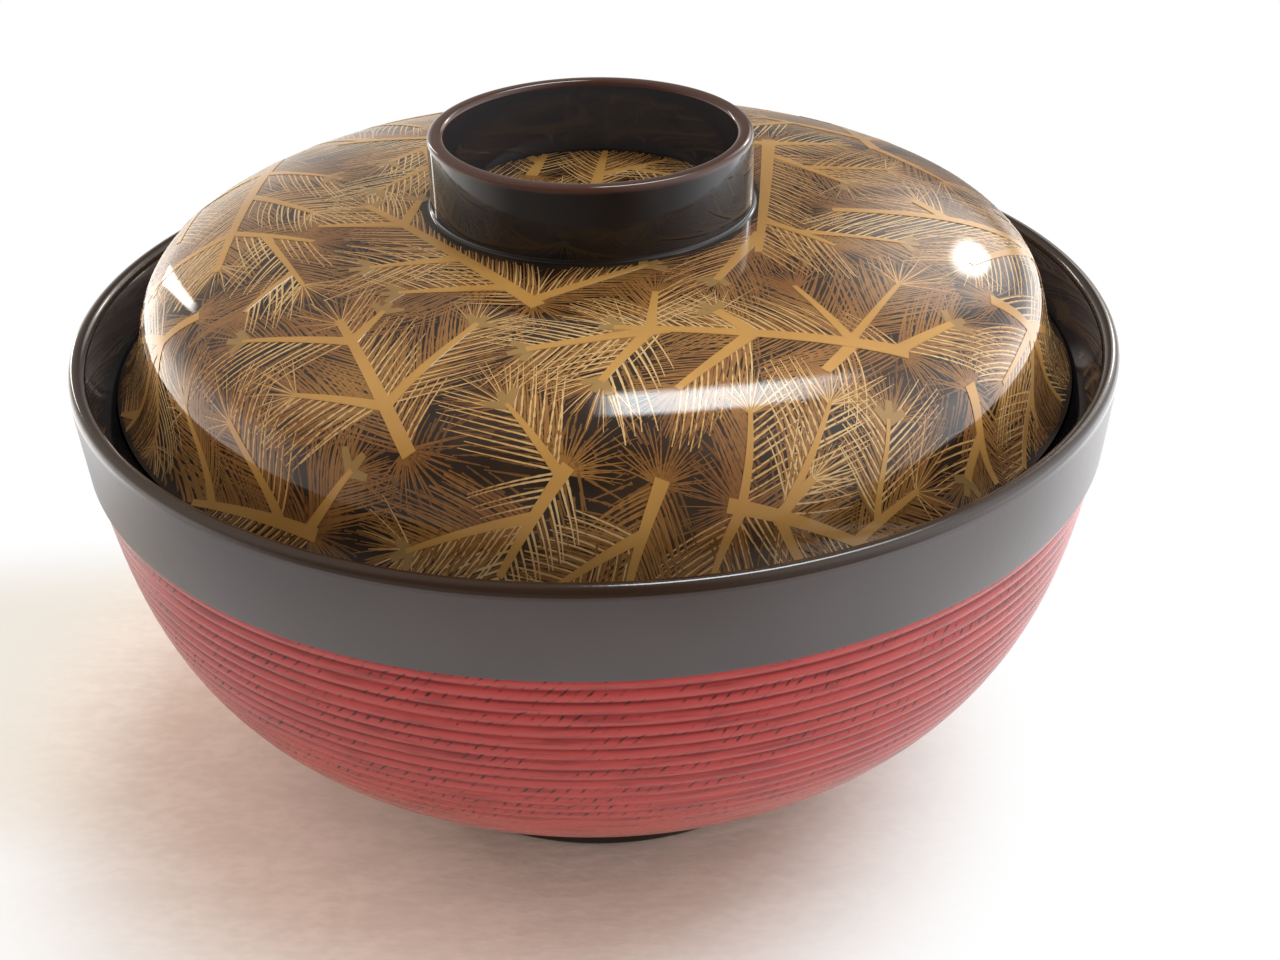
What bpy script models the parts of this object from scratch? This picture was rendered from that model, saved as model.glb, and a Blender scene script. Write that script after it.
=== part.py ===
"""A lidded lacquer bowl: turned wooden cores, cloth and coats of lacquer.

Every piece is a solid of revolution about the Z axis. A profile is a list of
(radius, height) points in metres. The bowl's heights count from the table, and
the lid's from its own edge, so that the whole lid lifts with its parent empty.
"""

import math

import bmesh
import bpy
from mathutils import Vector
from mathutils.geometry import interpolate_bezier

# Layers of lacquer and cloth, and the glue line between two layers
COAT = 0.0005
CLOTH = 0.0004
GAP = 0.0003

# Bowl
RIM_RADIUS = 0.0660
RIM_HEIGHT = 0.0630
BAND_HEIGHT = 0.0120
BAND_TAPER = 0.0011
BODY_STEP = 0.0003
LIP_CORE = 0.0006
SEAT_DEPTH = 0.0052
SEAT_CORE = 0.0031
FLOOR_CORE = 0.0052

# Foot
FOOT_RADIUS = 0.0305
FOOT_HEIGHT = 0.0100
FOOT_WALL = 0.0040
FOOT_RECESS = 0.0060
FOOT_CHAMFER = 0.0008

# Thread grooves, which run down from the black band
GROOVE_PITCH = 0.0018
GROOVE_DEPTH = 0.00025
GROOVED_DROP = 0.0260

# Cloth strips: distance of their edges from the rim, the band's foot and the lid's edge
RIM_CLOTH_BELOW_RIM = 0.0035
RIM_CLOTH_ABOVE_BAND_FOOT = 0.0015
LID_CLOTH_ABOVE_EDGE = 0.0030
LID_CLOTH_WIDTH = 0.0060

# Lid
LID_RISE = 0.0208
LID_CORE = 0.0016
LID_EDGE_ROUND = 0.0006
LID_EDGE_WALL = 0.0030
LID_CLEARANCE = 0.0003

# Knob ring
KNOB_RADIUS = 0.0200
KNOB_HEIGHT = 0.0093
KNOB_WALL = 0.0021
KNOB_FLARE = 0.0005
KNOB_ROUND = 0.0006

# Fullness of the turned curves, as shares of the span that each curve crosses
BODY_UPPER_FULLNESS = (0.057, 0.22)
BODY_LOWER_FULLNESS = (0.91, 0.10)
HOLLOW_UPPER_FULLNESS = (0.063, 0.50)
HOLLOW_LOWER_FULLNESS = 0.92
DOME_FULLNESS = (1.18, 0.055)
FLARE_FULLNESS = (0.226, 0.410)

# Fineness of the model
SEGMENTS = 40
CURVE_STEPS = 9
LIP_STEPS = 4
MERGE_DISTANCE = 1e-6
SHARP_ANGLE = math.radians(35)

# Sizes that follow from the ones above
SKIN = COAT + GAP
LIP_WALL = LIP_CORE + 2 * SKIN
LIP_TOP = RIM_HEIGHT - LIP_WALL / 2
BAND_FOOT = RIM_HEIGHT - BAND_HEIGHT
BAND_FOOT_RADIUS = RIM_RADIUS - BAND_TAPER
SEAT_HEIGHT = RIM_HEIGHT - SEAT_DEPTH
SEAT_RADIUS = RIM_RADIUS - BAND_TAPER * SEAT_DEPTH / BAND_HEIGHT - SEAT_CORE - 2 * SKIN
CORE_BASE = FOOT_RECESS + COAT + GAP + CLOTH + GAP
FLOOR_HEIGHT = CORE_BASE + FLOOR_CORE + SKIN
BOSS_RADIUS = FOOT_RADIUS - FOOT_WALL - GAP
LID_BASE = SEAT_HEIGHT - LID_EDGE_ROUND
LID_EDGE_RADIUS = SEAT_RADIUS - LID_CLEARANCE
LID_WALL = LID_CORE + 2 * SKIN
KNOB_FOOT_RADIUS = KNOB_RADIUS + KNOB_FLARE
KNOB_BORE = KNOB_RADIUS - KNOB_WALL

# Finishes: colour, roughness and metallic value
BARE_WOOD = ((0.55, 0.38, 0.22), 0.60, 0.0)
HEMP = ((0.62, 0.55, 0.42), 0.90, 0.0)
DARK_LACQUER = ((0.030, 0.018, 0.014), 0.12, 0.0)
SATIN_BLACK = ((0.060, 0.052, 0.052), 0.35, 0.0)
RED_LACQUER = ((0.420, 0.062, 0.058), 0.40, 0.0)
GOLD_ON_DARK = ((0.230, 0.140, 0.045), 0.15, 0.4)


def clear_scene():
    """Remove every object that the new scene starts with."""
    for item in list(bpy.data.objects):
        bpy.data.objects.remove(item, do_unlink=True)


def curve(start, start_handle, end_handle, end):
    """Return the points of one smooth profile stretch between two ends."""
    knots = [Vector((radius, height)) for radius, height in (start, start_handle, end_handle, end)]
    return [tuple(point) for point in interpolate_bezier(*knots, CURVE_STEPS)]


def offset(profile, distances):
    """Move a falling profile to its inner side by a distance, one for all points or one each."""
    if isinstance(distances, float):
        distances = [distances] * len(profile)
    moved = []
    for index, (radius, height) in enumerate(profile):
        before = Vector(profile[max(index - 1, 0)])
        after = Vector(profile[min(index + 1, len(profile) - 1)])
        along = (after - before).normalized()
        moved.append((radius + along.y * distances[index], height - along.x * distances[index]))
    return moved


def radius_at(profile, height):
    """Return the radius of a falling profile at a height."""
    for (radius_0, height_0), (radius_1, height_1) in zip(profile, profile[1:]):
        if height_0 >= height > height_1:
            return radius_0 + (radius_1 - radius_0) * (height_0 - height) / (height_0 - height_1)
    return profile[-1][0]


def between(profile, high, low):
    """Return the stretch of a falling profile between two heights, with its ends on them."""
    inside = [point for point in profile if high > point[1] > low]
    return [(radius_at(profile, high), high), *inside, (radius_at(profile, low), low)]


def above(profile, low):
    """Return the part of a falling profile above a height, with its end on it."""
    return [point for point in profile if point[1] > low] + [(radius_at(profile, low), low)]


def finish(name, settings):
    """Make a piece's own material from a colour, a roughness and a metallic value."""
    colour, roughness, metallic = settings
    material = bpy.data.materials.new(name)
    material.use_nodes = True
    shader = material.node_tree.nodes["Principled BSDF"]
    shader.inputs["Base Color"].default_value = (*colour, 1.0)
    shader.inputs["Roughness"].default_value = roughness
    shader.inputs["Metallic"].default_value = metallic
    return material


def turned(name, profile, settings, parent):
    """Turn a closed profile about the Z axis and return the finished piece."""
    bm = bmesh.new()
    ring = [bm.verts.new((radius, 0.0, height)) for radius, height in profile]
    for first, second in zip(ring, ring[1:] + ring[:1]):
        if first.co.x > 0.0 or second.co.x > 0.0:
            bm.edges.new((first, second))
    bmesh.ops.spin(
        bm,
        geom=bm.verts[:] + bm.edges[:],
        cent=(0.0, 0.0, 0.0),
        axis=(0.0, 0.0, 1.0),
        angle=2 * math.pi,
        steps=SEGMENTS,
        use_merge=True,
    )
    bmesh.ops.remove_doubles(bm, verts=bm.verts, dist=MERGE_DISTANCE)
    bmesh.ops.recalc_face_normals(bm, faces=bm.faces)
    mesh = bpy.data.meshes.new(name)
    bm.to_mesh(mesh)
    bm.free()
    mesh.shade_smooth()
    mesh.set_sharp_from_angle(angle=SHARP_ANGLE)
    mesh.materials.append(finish(name, settings))
    piece = bpy.data.objects.new(name, mesh)
    bpy.context.collection.objects.link(piece)
    piece.parent = parent
    return piece


def assembly(name, height):
    """Add an empty on the axis that carries the pieces of the bowl or of the lid."""
    empty = bpy.data.objects.new(name, None)
    empty.location.z = height
    bpy.context.collection.objects.link(empty)
    return empty


def body_profile():
    """Return the red outside of the bowl, from under the band down to the foot."""
    top = (BAND_FOOT_RADIUS - BODY_STEP, BAND_FOOT - GAP)
    foot = (FOOT_RADIUS + GAP, FOOT_HEIGHT)
    width = top[0] - foot[0]
    drop = top[1] - foot[1]
    inset, lowering = BODY_UPPER_FULLNESS
    reach, rise = BODY_LOWER_FULLNESS
    return curve(
        top,
        (top[0] - inset * width, top[1] - lowering * drop),
        (foot[0] + reach * width, foot[1] + rise * drop),
        foot,
    )


def hollow_profile():
    """Return the inside of the bowl, from under the lip over the lid's seat to the floor."""
    lip = (RIM_RADIUS - LIP_WALL, LIP_TOP - GAP)
    seat = (SEAT_RADIUS, SEAT_HEIGHT)
    floor = (0.0, FLOOR_HEIGHT)
    drop = seat[1] - floor[1]
    inset, lowering = HOLLOW_UPPER_FULLNESS
    wall = curve(
        seat,
        (seat[0] * (1 - inset), seat[1] - lowering * drop),
        (seat[0] * HOLLOW_LOWER_FULLNESS, floor[1]),
        floor,
    )
    return [lip, *wall]


def band_radius(height):
    """Return the black band's outer radius at a height."""
    return RIM_RADIUS - BAND_TAPER * (RIM_HEIGHT - height) / BAND_HEIGHT


def dome_profile():
    """Return the outside of the lid, from the knob ring over the shoulder to the edge."""
    crown = (KNOB_FOOT_RADIUS + GAP, LID_RISE)
    edge = (LID_EDGE_RADIUS, LID_EDGE_ROUND)
    width = edge[0] - crown[0]
    drop = crown[1] - edge[1]
    reach, fall = DOME_FULLNESS
    draw, lift = FLARE_FULLNESS
    return curve(
        crown,
        (crown[0] + reach * width, crown[1] - fall * drop),
        (edge[0] - draw * width, edge[1] + lift * drop),
        edge,
    )


def lid_inside(depth):
    """Return the lid's inside at a depth into its wall, down to the wrapped edge.

    Below the cloth strip the inside runs out to the edge at about 45 degrees, so the
    depth counts the square root of two along the radius there.
    """
    shell = above(offset(dome_profile(), LID_WALL - depth), LID_CLOTH_ABOVE_EDGE)
    edge_radius = LID_EDGE_RADIUS - LID_EDGE_WALL + math.sqrt(2) * depth
    return [*shell, (edge_radius, SKIN)]


def to_axis(profile):
    """Close a profile's last point onto the axis at its own height."""
    return [*profile[:-1], (0.0, profile[-1][1])]


def grooves(profile):
    """Lay turned ridges and grooves along the upper part of a falling profile."""
    top = profile[0][1]
    zone = between(profile, top, top - GROOVED_DROP)
    below = [point for point in profile if point[1] < top - GROOVED_DROP]
    steps = [math.dist(first, second) for first, second in zip(zone, zone[1:])]
    count = int(sum(steps) / GROOVE_PITCH)
    places = [sum(steps) * index / (2 * count) for index in range(2 * count + 1)]
    points = [along(zone, steps, place) for place in places]
    depths = [GROOVE_DEPTH * (index % 2) for index in range(len(points))]
    return offset(points, depths) + below


def along(profile, steps, place):
    """Return the point at a distance along a profile whose steps are already measured."""
    for first, second, step in zip(profile, profile[1:], steps):
        if place <= step:
            return tuple(Vector(first).lerp(Vector(second), place / step))
        place -= step
    return profile[-1]


def bowl_core(parent):
    """Turned wooden body: rim with its cloth rebate, wall, floor and foot boss."""
    strip_top = RIM_HEIGHT - RIM_CLOTH_BELOW_RIM
    strip_foot = BAND_FOOT + RIM_CLOTH_ABOVE_BAND_FOOT
    rebate = SKIN + CLOTH + GAP
    outside = [
        (RIM_RADIUS - SKIN, LIP_TOP - GAP),
        (band_radius(strip_top + GAP) - SKIN, strip_top + GAP),
        (band_radius(strip_top + GAP) - rebate, strip_top + GAP),
        (band_radius(strip_foot - GAP) - rebate, strip_foot - GAP),
        (band_radius(strip_foot - GAP) - SKIN, strip_foot - GAP),
        *offset(body_profile(), SKIN),
    ]
    seat = FOOT_HEIGHT + SKIN
    boss = [(BOSS_RADIUS, seat), (BOSS_RADIUS, CORE_BASE), (0.0, CORE_BASE)]
    inside = to_axis(offset(hollow_profile(), -SKIN))
    turned("bowl_core", outside + boss + inside[::-1], BARE_WOOD, parent)


def rim_cloth(parent):
    """Strip of hemp cloth in the rebate behind the black band."""
    top = RIM_HEIGHT - RIM_CLOTH_BELOW_RIM
    foot = BAND_FOOT + RIM_CLOTH_ABOVE_BAND_FOOT
    outside = [(band_radius(height) - SKIN, height) for height in (top, foot)]
    inside = [(radius - CLOTH, height) for radius, height in outside]
    turned("rim_cloth", outside + inside[::-1], HEMP, parent)


def rim_band(parent):
    """Satin black coat outside the rim, with the half-round lip on top."""
    bead = LIP_WALL / 2
    angles = [math.pi * (1 - step / (2 * LIP_STEPS)) for step in range(2 * LIP_STEPS + 1)]
    centre = RIM_RADIUS - bead
    lip = [(centre + bead * math.cos(angle), LIP_TOP + bead * math.sin(angle)) for angle in angles]
    outside = [*lip, (BAND_FOOT_RADIUS, BAND_FOOT)]
    inside = [(BAND_FOOT_RADIUS - COAT, BAND_FOOT), (RIM_RADIUS - COAT, LIP_TOP)]
    turned("rim_band", outside + inside, SATIN_BLACK, parent)


def grooved_coat(parent):
    """Red coat with turned thread grooves, from the band to the foot."""
    body = body_profile()
    turned("grooved_coat", grooves(body) + offset(body, COAT)[::-1], RED_LACQUER, parent)


def bowl_lining(parent):
    """Dark coat inside the bowl, from the lip to the centre of the floor."""
    face = hollow_profile()
    back = to_axis(offset(face, -COAT))
    back[0] = (face[0][0] + COAT, face[0][1])
    turned("bowl_lining", back + face[::-1], DARK_LACQUER, parent)


def foot_ring(parent):
    """Turned ring that the bowl stands on, pushed over the boss of the core."""
    bore = FOOT_RADIUS - FOOT_WALL
    top = FOOT_HEIGHT + COAT
    profile = [
        (FOOT_RADIUS, top),
        (FOOT_RADIUS, FOOT_CHAMFER),
        (FOOT_RADIUS - FOOT_CHAMFER, 0.0),
        (bore + FOOT_CHAMFER, 0.0),
        (bore, FOOT_CHAMFER),
        (bore, top),
    ]
    turned("foot_ring", profile, DARK_LACQUER, parent)


def disc(name, radius, bottom, thickness, settings, parent):
    """Flat round layer on the axis."""
    top = bottom + thickness
    profile = [(0.0, top), (radius, top), (radius, bottom), (0.0, bottom)]
    turned(name, profile, settings, parent)


def lid_core(parent):
    """Turned wooden dome with the rebate for its cloth strip."""
    dome = dome_profile()
    strip_foot = LID_CLOTH_ABOVE_EDGE
    strip_top = strip_foot + LID_CLOTH_WIDTH
    face = offset(dome, SKIN)
    rebate = offset(dome, SKIN + CLOTH + GAP)
    outside = [
        (0.0, LID_RISE - SKIN),
        *above(face, strip_top + GAP),
        *between(rebate, strip_top + GAP, strip_foot - GAP),
        *between(face, strip_foot - GAP, SKIN),
    ]
    inside = lid_inside(SKIN)
    crown = (0.0, LID_RISE - SKIN - LID_CORE)
    turned("lid_core", [*outside, *inside[::-1], crown], BARE_WOOD, parent)


def lid_edge_cloth(parent):
    """Strip of hemp cloth in the rebate near the lid's edge."""
    dome = dome_profile()
    foot = LID_CLOTH_ABOVE_EDGE
    top = foot + LID_CLOTH_WIDTH
    outside = between(offset(dome, SKIN), top, foot)
    inside = between(offset(dome, SKIN + CLOTH), top, foot)
    turned("lid_edge_cloth", outside + inside[::-1], HEMP, parent)


def lid_coat(parent):
    """Decorated coat from the knob ring over the dome, wrapped under the edge."""
    dome = dome_profile()
    inner_edge = LID_EDGE_RADIUS - LID_EDGE_WALL
    wrap = [
        (LID_EDGE_RADIUS - LID_EDGE_ROUND, 0.0),
        (inner_edge, 0.0),
        (inner_edge, COAT),
    ]
    back = above(offset(dome, COAT), COAT)
    turned("lid_coat", dome + wrap + back[::-1], GOLD_ON_DARK, parent)


def lid_lining(parent):
    """Dark coat inside the lid, down to the wrapped edge."""
    crown = LID_RISE - LID_WALL
    back = lid_inside(COAT)
    face = lid_inside(0.0)
    profile = [(0.0, crown + COAT), *back, *face[::-1], (0.0, crown)]
    turned("lid_lining", profile, DARK_LACQUER, parent)


def knob_ring(parent):
    """Ring on top of the lid, glued to the core, with a rounded lip and a flared foot."""
    foot = LID_RISE - COAT
    top = LID_RISE + KNOB_HEIGHT
    profile = [
        (KNOB_BORE, foot),
        (KNOB_BORE, top - KNOB_ROUND),
        (KNOB_BORE + KNOB_ROUND, top),
        (KNOB_RADIUS - KNOB_ROUND, top),
        (KNOB_RADIUS, top - KNOB_ROUND),
        (KNOB_RADIUS, LID_RISE + KNOB_FLARE),
        (KNOB_FOOT_RADIUS, LID_RISE),
        (KNOB_FOOT_RADIUS, foot),
    ]
    turned("knob_ring", profile, DARK_LACQUER, parent)


def build_bowl():
    """Build the bowl, which stands still."""
    parent = assembly("bowl", 0.0)
    bowl_core(parent)
    foot_ring(parent)
    rim_cloth(parent)
    disc("base_cloth", BOSS_RADIUS, FOOT_RECESS + SKIN, CLOTH, HEMP, parent)
    disc("base_coat", BOSS_RADIUS, FOOT_RECESS, COAT, DARK_LACQUER, parent)
    bowl_lining(parent)
    rim_band(parent)
    grooved_coat(parent)


def build_lid():
    """Build the lid, which lifts off along the axis."""
    parent = assembly("lid", LID_BASE)
    lid_core(parent)
    lid_edge_cloth(parent)
    knob_ring(parent)
    lid_coat(parent)
    disc("knob_well_coat", KNOB_BORE - GAP, LID_RISE - COAT, COAT, GOLD_ON_DARK, parent)
    lid_lining(parent)


clear_scene()
build_bowl()
build_lid()
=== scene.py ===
"""Looks of a lidded lacquer bowl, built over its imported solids.

Lengths are in metres. A turned piece is a closed profile of (radius, height)
points that is spun about the Z axis, which is the axis of the bowl and its lid.
The gold pine branches are fine strokes laid on the lid from a flat chart. An Ease
holds the limits of Graph.fade, with the results there if they aren't 0 and 1.
"""

import cmath
import logging
import math
import random
from dataclasses import dataclass, field, replace
from enum import Enum
from functools import partial, reduce

import bmesh
import bpy
import numpy as np
from mathutils import Matrix, Quaternion, Vector
from mathutils.geometry import interpolate_bezier


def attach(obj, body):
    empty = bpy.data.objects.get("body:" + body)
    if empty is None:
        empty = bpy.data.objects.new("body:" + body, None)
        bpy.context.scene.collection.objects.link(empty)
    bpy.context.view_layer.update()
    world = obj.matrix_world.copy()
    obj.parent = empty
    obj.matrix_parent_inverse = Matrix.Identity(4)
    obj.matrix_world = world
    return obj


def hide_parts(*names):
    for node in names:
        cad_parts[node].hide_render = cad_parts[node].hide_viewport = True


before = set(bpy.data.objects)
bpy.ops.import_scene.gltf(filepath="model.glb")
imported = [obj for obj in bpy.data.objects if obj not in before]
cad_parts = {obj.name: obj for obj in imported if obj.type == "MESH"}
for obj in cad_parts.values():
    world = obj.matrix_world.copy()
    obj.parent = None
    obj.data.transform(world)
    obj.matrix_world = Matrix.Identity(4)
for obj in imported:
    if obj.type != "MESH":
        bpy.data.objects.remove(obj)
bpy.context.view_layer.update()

LOG = logging.getLogger("bowl")
COAT = 0.0005

Span = tuple[float, float]
Ease = tuple[float, ...]
Triple = tuple[float, float, float]
Colour = tuple[float, float, float]
Profile = list[tuple[float, float]]
Socket = bpy.types.NodeSocket
Piece = bpy.types.Object

WHITE: Colour = (1.0, 1.0, 1.0)


class Body(Enum):
    """The two loose things that the object comes apart into."""

    BOWL = "bowl"
    LID = "lid"


class Slot(Enum):
    """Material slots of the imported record."""

    DARK = "dark_lacquer"
    SATIN = "satin_black"
    RED = "red_lacquer"
    GOLD = "gold_on_dark"


def curve(start: Span, end: Span, leave: Span, arrive: Span, steps: int) -> Profile:
    """Trace a smooth stretch of a profile.

    Args:
        start: First point.
        end: Last point.
        leave: Handle of the first point, as shares of the way to the last.
        arrive: Handle of the last point, as shares of the way back.
        steps: Number of points.

    Returns:
        The points from start to end.
    """
    first, last = np.array(start), np.array(end)
    way = last - first
    knots = (first, first + way * leave, last - way * arrive, last)
    return [tuple(point) for point in interpolate_bezier(*map(Vector, knots), steps)]


def arc(centre: Span, radius: float, first: float, last: float, steps: int) -> Profile:
    """Trace a round stretch of a profile, between two angles in degrees from outwards."""
    angles = np.radians(np.linspace(first, last, steps))
    return [(centre[0] + radius * math.cos(a), centre[1] + radius * math.sin(a)) for a in angles]


def offset(profile: Profile, distances: float | list[float]) -> Profile:
    """Move a falling profile towards its inner side.

    Args:
        profile: Points of the profile.
        distances: One distance for all points, or one for each.

    Returns:
        The moved points.
    """
    points = np.array(profile)
    along = np.gradient(points, axis=0)
    along /= np.linalg.norm(along, axis=1)[:, None]
    inward = np.stack([along[:, 1], -along[:, 0]], axis=1)
    moved = points + inward * np.broadcast_to(distances, len(points))[:, None]
    return [tuple(point) for point in moved.tolist()]


def link(piece: Piece) -> Piece:
    """Put a piece into the scene."""
    bpy.context.scene.collection.objects.link(piece)
    return piece


def settle(bm: bmesh.types.BMesh, name: str) -> bpy.types.Mesh:
    """Keep finished geometry as a mesh.

    Args:
        bm: Geometry, which is freed.
        name: Name of the mesh.

    Returns:
        The mesh.
    """
    mesh = bpy.data.meshes.new(name)
    bm.to_mesh(mesh)
    bm.free()
    return mesh


def facing(place: Triple, aim: Triple) -> Quaternion:
    """Return the turn of a lamp or camera that looks from a place at its aim."""
    return (Vector(aim) - Vector(place)).to_track_quat("-Z", "Y")


@dataclass(frozen=True)
class Lathe:
    """Turns closed profiles about the Z axis."""

    segments: int = 256
    merge: float = 1e-7
    sharp: float = math.radians(40)

    def turn(self, name: str, profile: Profile) -> Piece:
        """Turn one piece.

        Args:
            name: Name of the piece.
            profile: Closed profile; its last point joins its first.

        Returns:
            The turned piece.
        """
        bm = bmesh.new()
        ring = [bm.verts.new((radius, 0.0, height)) for radius, height in profile]
        for first, second in zip(ring, ring[1:] + ring[:1]):
            if first.co.x > 0.0 or second.co.x > 0.0:
                bm.edges.new((first, second))
        bmesh.ops.spin(
            bm,
            geom=bm.verts[:] + bm.edges[:],
            cent=(0.0, 0.0, 0.0),
            axis=(0.0, 0.0, 1.0),
            angle=2 * math.pi,
            steps=self.segments,
            use_merge=True,
        )
        bmesh.ops.remove_doubles(bm, verts=bm.verts, dist=self.merge)
        bmesh.ops.recalc_face_normals(bm, faces=bm.faces)
        mesh = settle(bm, name)
        mesh.shade_smooth()
        mesh.set_sharp_from_angle(angle=self.sharp)
        return link(bpy.data.objects.new(name, mesh))


class Graph:
    """Node tree that patterns are put together in."""

    def __init__(self, tree: bpy.types.NodeTree, place: str) -> None:
        """Take over a tree.

        Args:
            tree: The tree.
            place: Kind of texture coordinate that its patterns lie on.
        """
        self.nodes = tree.nodes
        self.links = tree.links
        self.place = self.node("ShaderNodeTexCoord").outputs[place]

    def node(self, kind: str, inputs: dict | None = None, **settings: object) -> bpy.types.Node:
        """Add a node.

        Args:
            kind: Blender's name for the node.
            inputs: Sockets or values to feed it with, by name or number.
            settings: Properties to set on it.

        Returns:
            The node.
        """
        made = self.nodes.new(kind)
        for key, value in settings.items():
            setattr(made, key, value)
        for key, value in (inputs or {}).items():
            self.feed(made.inputs[key], value)
        return made

    def feed(self, socket: Socket, value: object) -> None:
        """Link a socket to another, or set its value.

        Args:
            socket: Socket to feed.
            value: Other socket, number, vector or colour.
        """
        if isinstance(value, bpy.types.NodeSocket):
            self.links.new(value, socket)
        else:
            socket.default_value = (*value, 1.0) if socket.type == "RGBA" else value

    def split(self) -> tuple[Socket, Socket, Socket]:
        """Return the three parts of the place."""
        return tuple(self.node("ShaderNodeSeparateXYZ", {"Vector": self.place}).outputs)

    def fade(
        self, value: Socket, low: float, high: float, start: float = 0.0, end: float = 1.0
    ) -> Socket:
        """Ease a value between two limits.

        Args:
            value: Number to read.
            low: Value at which the result is start.
            high: Value at which the result is end.
            start: Result at and below low.
            end: Result at and above high.

        Returns:
            The eased number.
        """
        limits = dict(enumerate((value, low, high, start, end)))
        made = self.node("ShaderNodeMapRange", limits, interpolation_type="SMOOTHSTEP")
        return made.outputs["Result"]

    def maths(self, operation: str, first: object, second: object = 0.0) -> Socket:
        """Combine two numbers, or change one."""
        made = self.node("ShaderNodeMath", {0: first, 1: second}, operation=operation)
        return made.outputs["Value"]

    def times(self, *values: object) -> Socket:
        """Multiply numbers."""
        return reduce(partial(self.maths, "MULTIPLY"), values)

    def plus(self, *values: object) -> Socket:
        """Add numbers up."""
        return reduce(partial(self.maths, "ADD"), values)

    def between(self, value: Socket, rise: Span, fall: Span, strength: float = 1.0) -> Socket:
        """Ease a value up to a strength over one stretch and down to 0 over another."""
        return self.times(self.fade(value, *rise), self.fade(value, *fall, strength, 0.0))

    def blend(self, share: object, first: object, second: object) -> Socket:
        """Mix two colours, the second one by its share."""
        made = self.node("ShaderNodeMix", {"Factor": share, 6: first, 7: second}, data_type="RGBA")
        return made.outputs[2]

    def ray(self, kind: str) -> Socket:
        """Tell whether a ray is of a kind, such as one from the camera."""
        return self.node("ShaderNodeLightPath").outputs[f"Is {kind} Ray"]


class Recipe(Graph):
    """Node tree of one finish around a Principled shader."""

    def __init__(self, name: str) -> None:
        """Start an empty finish.

        Args:
            name: Name of its material.
        """
        self.material = bpy.data.materials.new(name)
        self.material.use_nodes = True
        super().__init__(self.material.node_tree, "Object")
        self.shader = self.nodes["Principled BSDF"]

    def set(self, **values: object) -> None:
        """Feed sockets of the shader.

        Args:
            values: Sockets by name in lower case, with underscores for spaces.
        """
        for key, value in values.items():
            words = key.replace("_", " ").title().replace("Ior", "IOR")
            self.feed(self.shader.inputs[words], value)

    def noise(self, scale: float, stretch: Triple = (1.0, 1.0, 1.0), detail: float = 4.0) -> Socket:
        """Add a noise pattern.

        Args:
            scale: Repeats in a metre.
            stretch: Factors on the scale along X, Y and Z.
            detail: Octaves.

        Returns:
            The pattern from 0 to 1.
        """
        mapping = self.node("ShaderNodeMapping", {"Vector": self.place, "Scale": stretch})
        inputs = {"Vector": mapping.outputs["Vector"], "Scale": scale, "Detail": detail}
        return self.node("ShaderNodeTexNoise", inputs).outputs["Fac"]

    def attribute(self, name: str) -> Socket:
        """Read a number that the mesh carries."""
        return self.node("ShaderNodeAttribute", attribute_name=name).outputs["Fac"]

    def height(self) -> Socket:
        """Read the height above the table."""
        return self.split()[2]

    def ellipse(self, centre: Span = (0.0, 0.0), radii: Span = (1.0, 1.0)) -> Socket:
        """Measure the way from an upright axis, by the square.

        Args:
            centre: Where the axis stands, along X and Y.
            radii: Distances along X and Y that count as 1.

        Returns:
            0 on the axis, 1 on the ellipse, more outside.
        """
        terms = []
        for socket, middle, radius in zip(self.split(), centre, radii):
            share = self.maths("DIVIDE", self.maths("SUBTRACT", socket, middle), radius)
            terms.append(self.maths("POWER", share, 2.0))
        return self.plus(*terms)

    def mix(self, share: Socket, first: Socket, second: Socket) -> Socket:
        """Mix two shaders, the second one by its share."""
        return self.node("ShaderNodeMixShader", {0: share, 1: first, 2: second}).outputs[0]

    def varnish(self, colour: Socket, roughness: float, metallic: float = 0.0) -> None:
        """Cover a colour with the clear coat that alone mirrors the room."""
        self.set(base_color=colour, roughness=roughness, metallic=metallic)
        self.set(specular_ior_level=0.0, coat_weight=1.0, coat_roughness=0.05)

    def bump(self, height: Socket, depth: float, strength: float = 1.0) -> None:
        """Raise the surface by a pattern from 0 to 1, whose full range is as high as the depth."""
        inputs = {"Strength": strength, "Distance": depth, "Height": height}
        self.set(normal=self.node("ShaderNodeBump", inputs).outputs["Normal"])


@dataclass(frozen=True)
class Patches:
    """Soft patches in a finish: eased noise, finer along Z by its stretch."""

    scale: float
    ease: Ease
    stretch: float = 1.0
    detail: float = 4.0

    def on(self, recipe: Recipe) -> Socket:
        """Return how strong the patches are at each point."""
        noise = recipe.noise(self.scale, (1.0, 1.0, self.stretch), self.detail)
        return recipe.fade(noise, *self.ease)


@dataclass(frozen=True)
class Finish:
    """Look of a piece."""

    name: str

    def make(self) -> bpy.types.Material:
        """Make a material with the look.

        Returns:
            The material.
        """
        recipe = Recipe(self.name)
        self.fill(recipe)
        return recipe.material

    def fill(self, recipe: Recipe) -> None:
        """Put the look together in a recipe."""
        raise NotImplementedError


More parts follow.
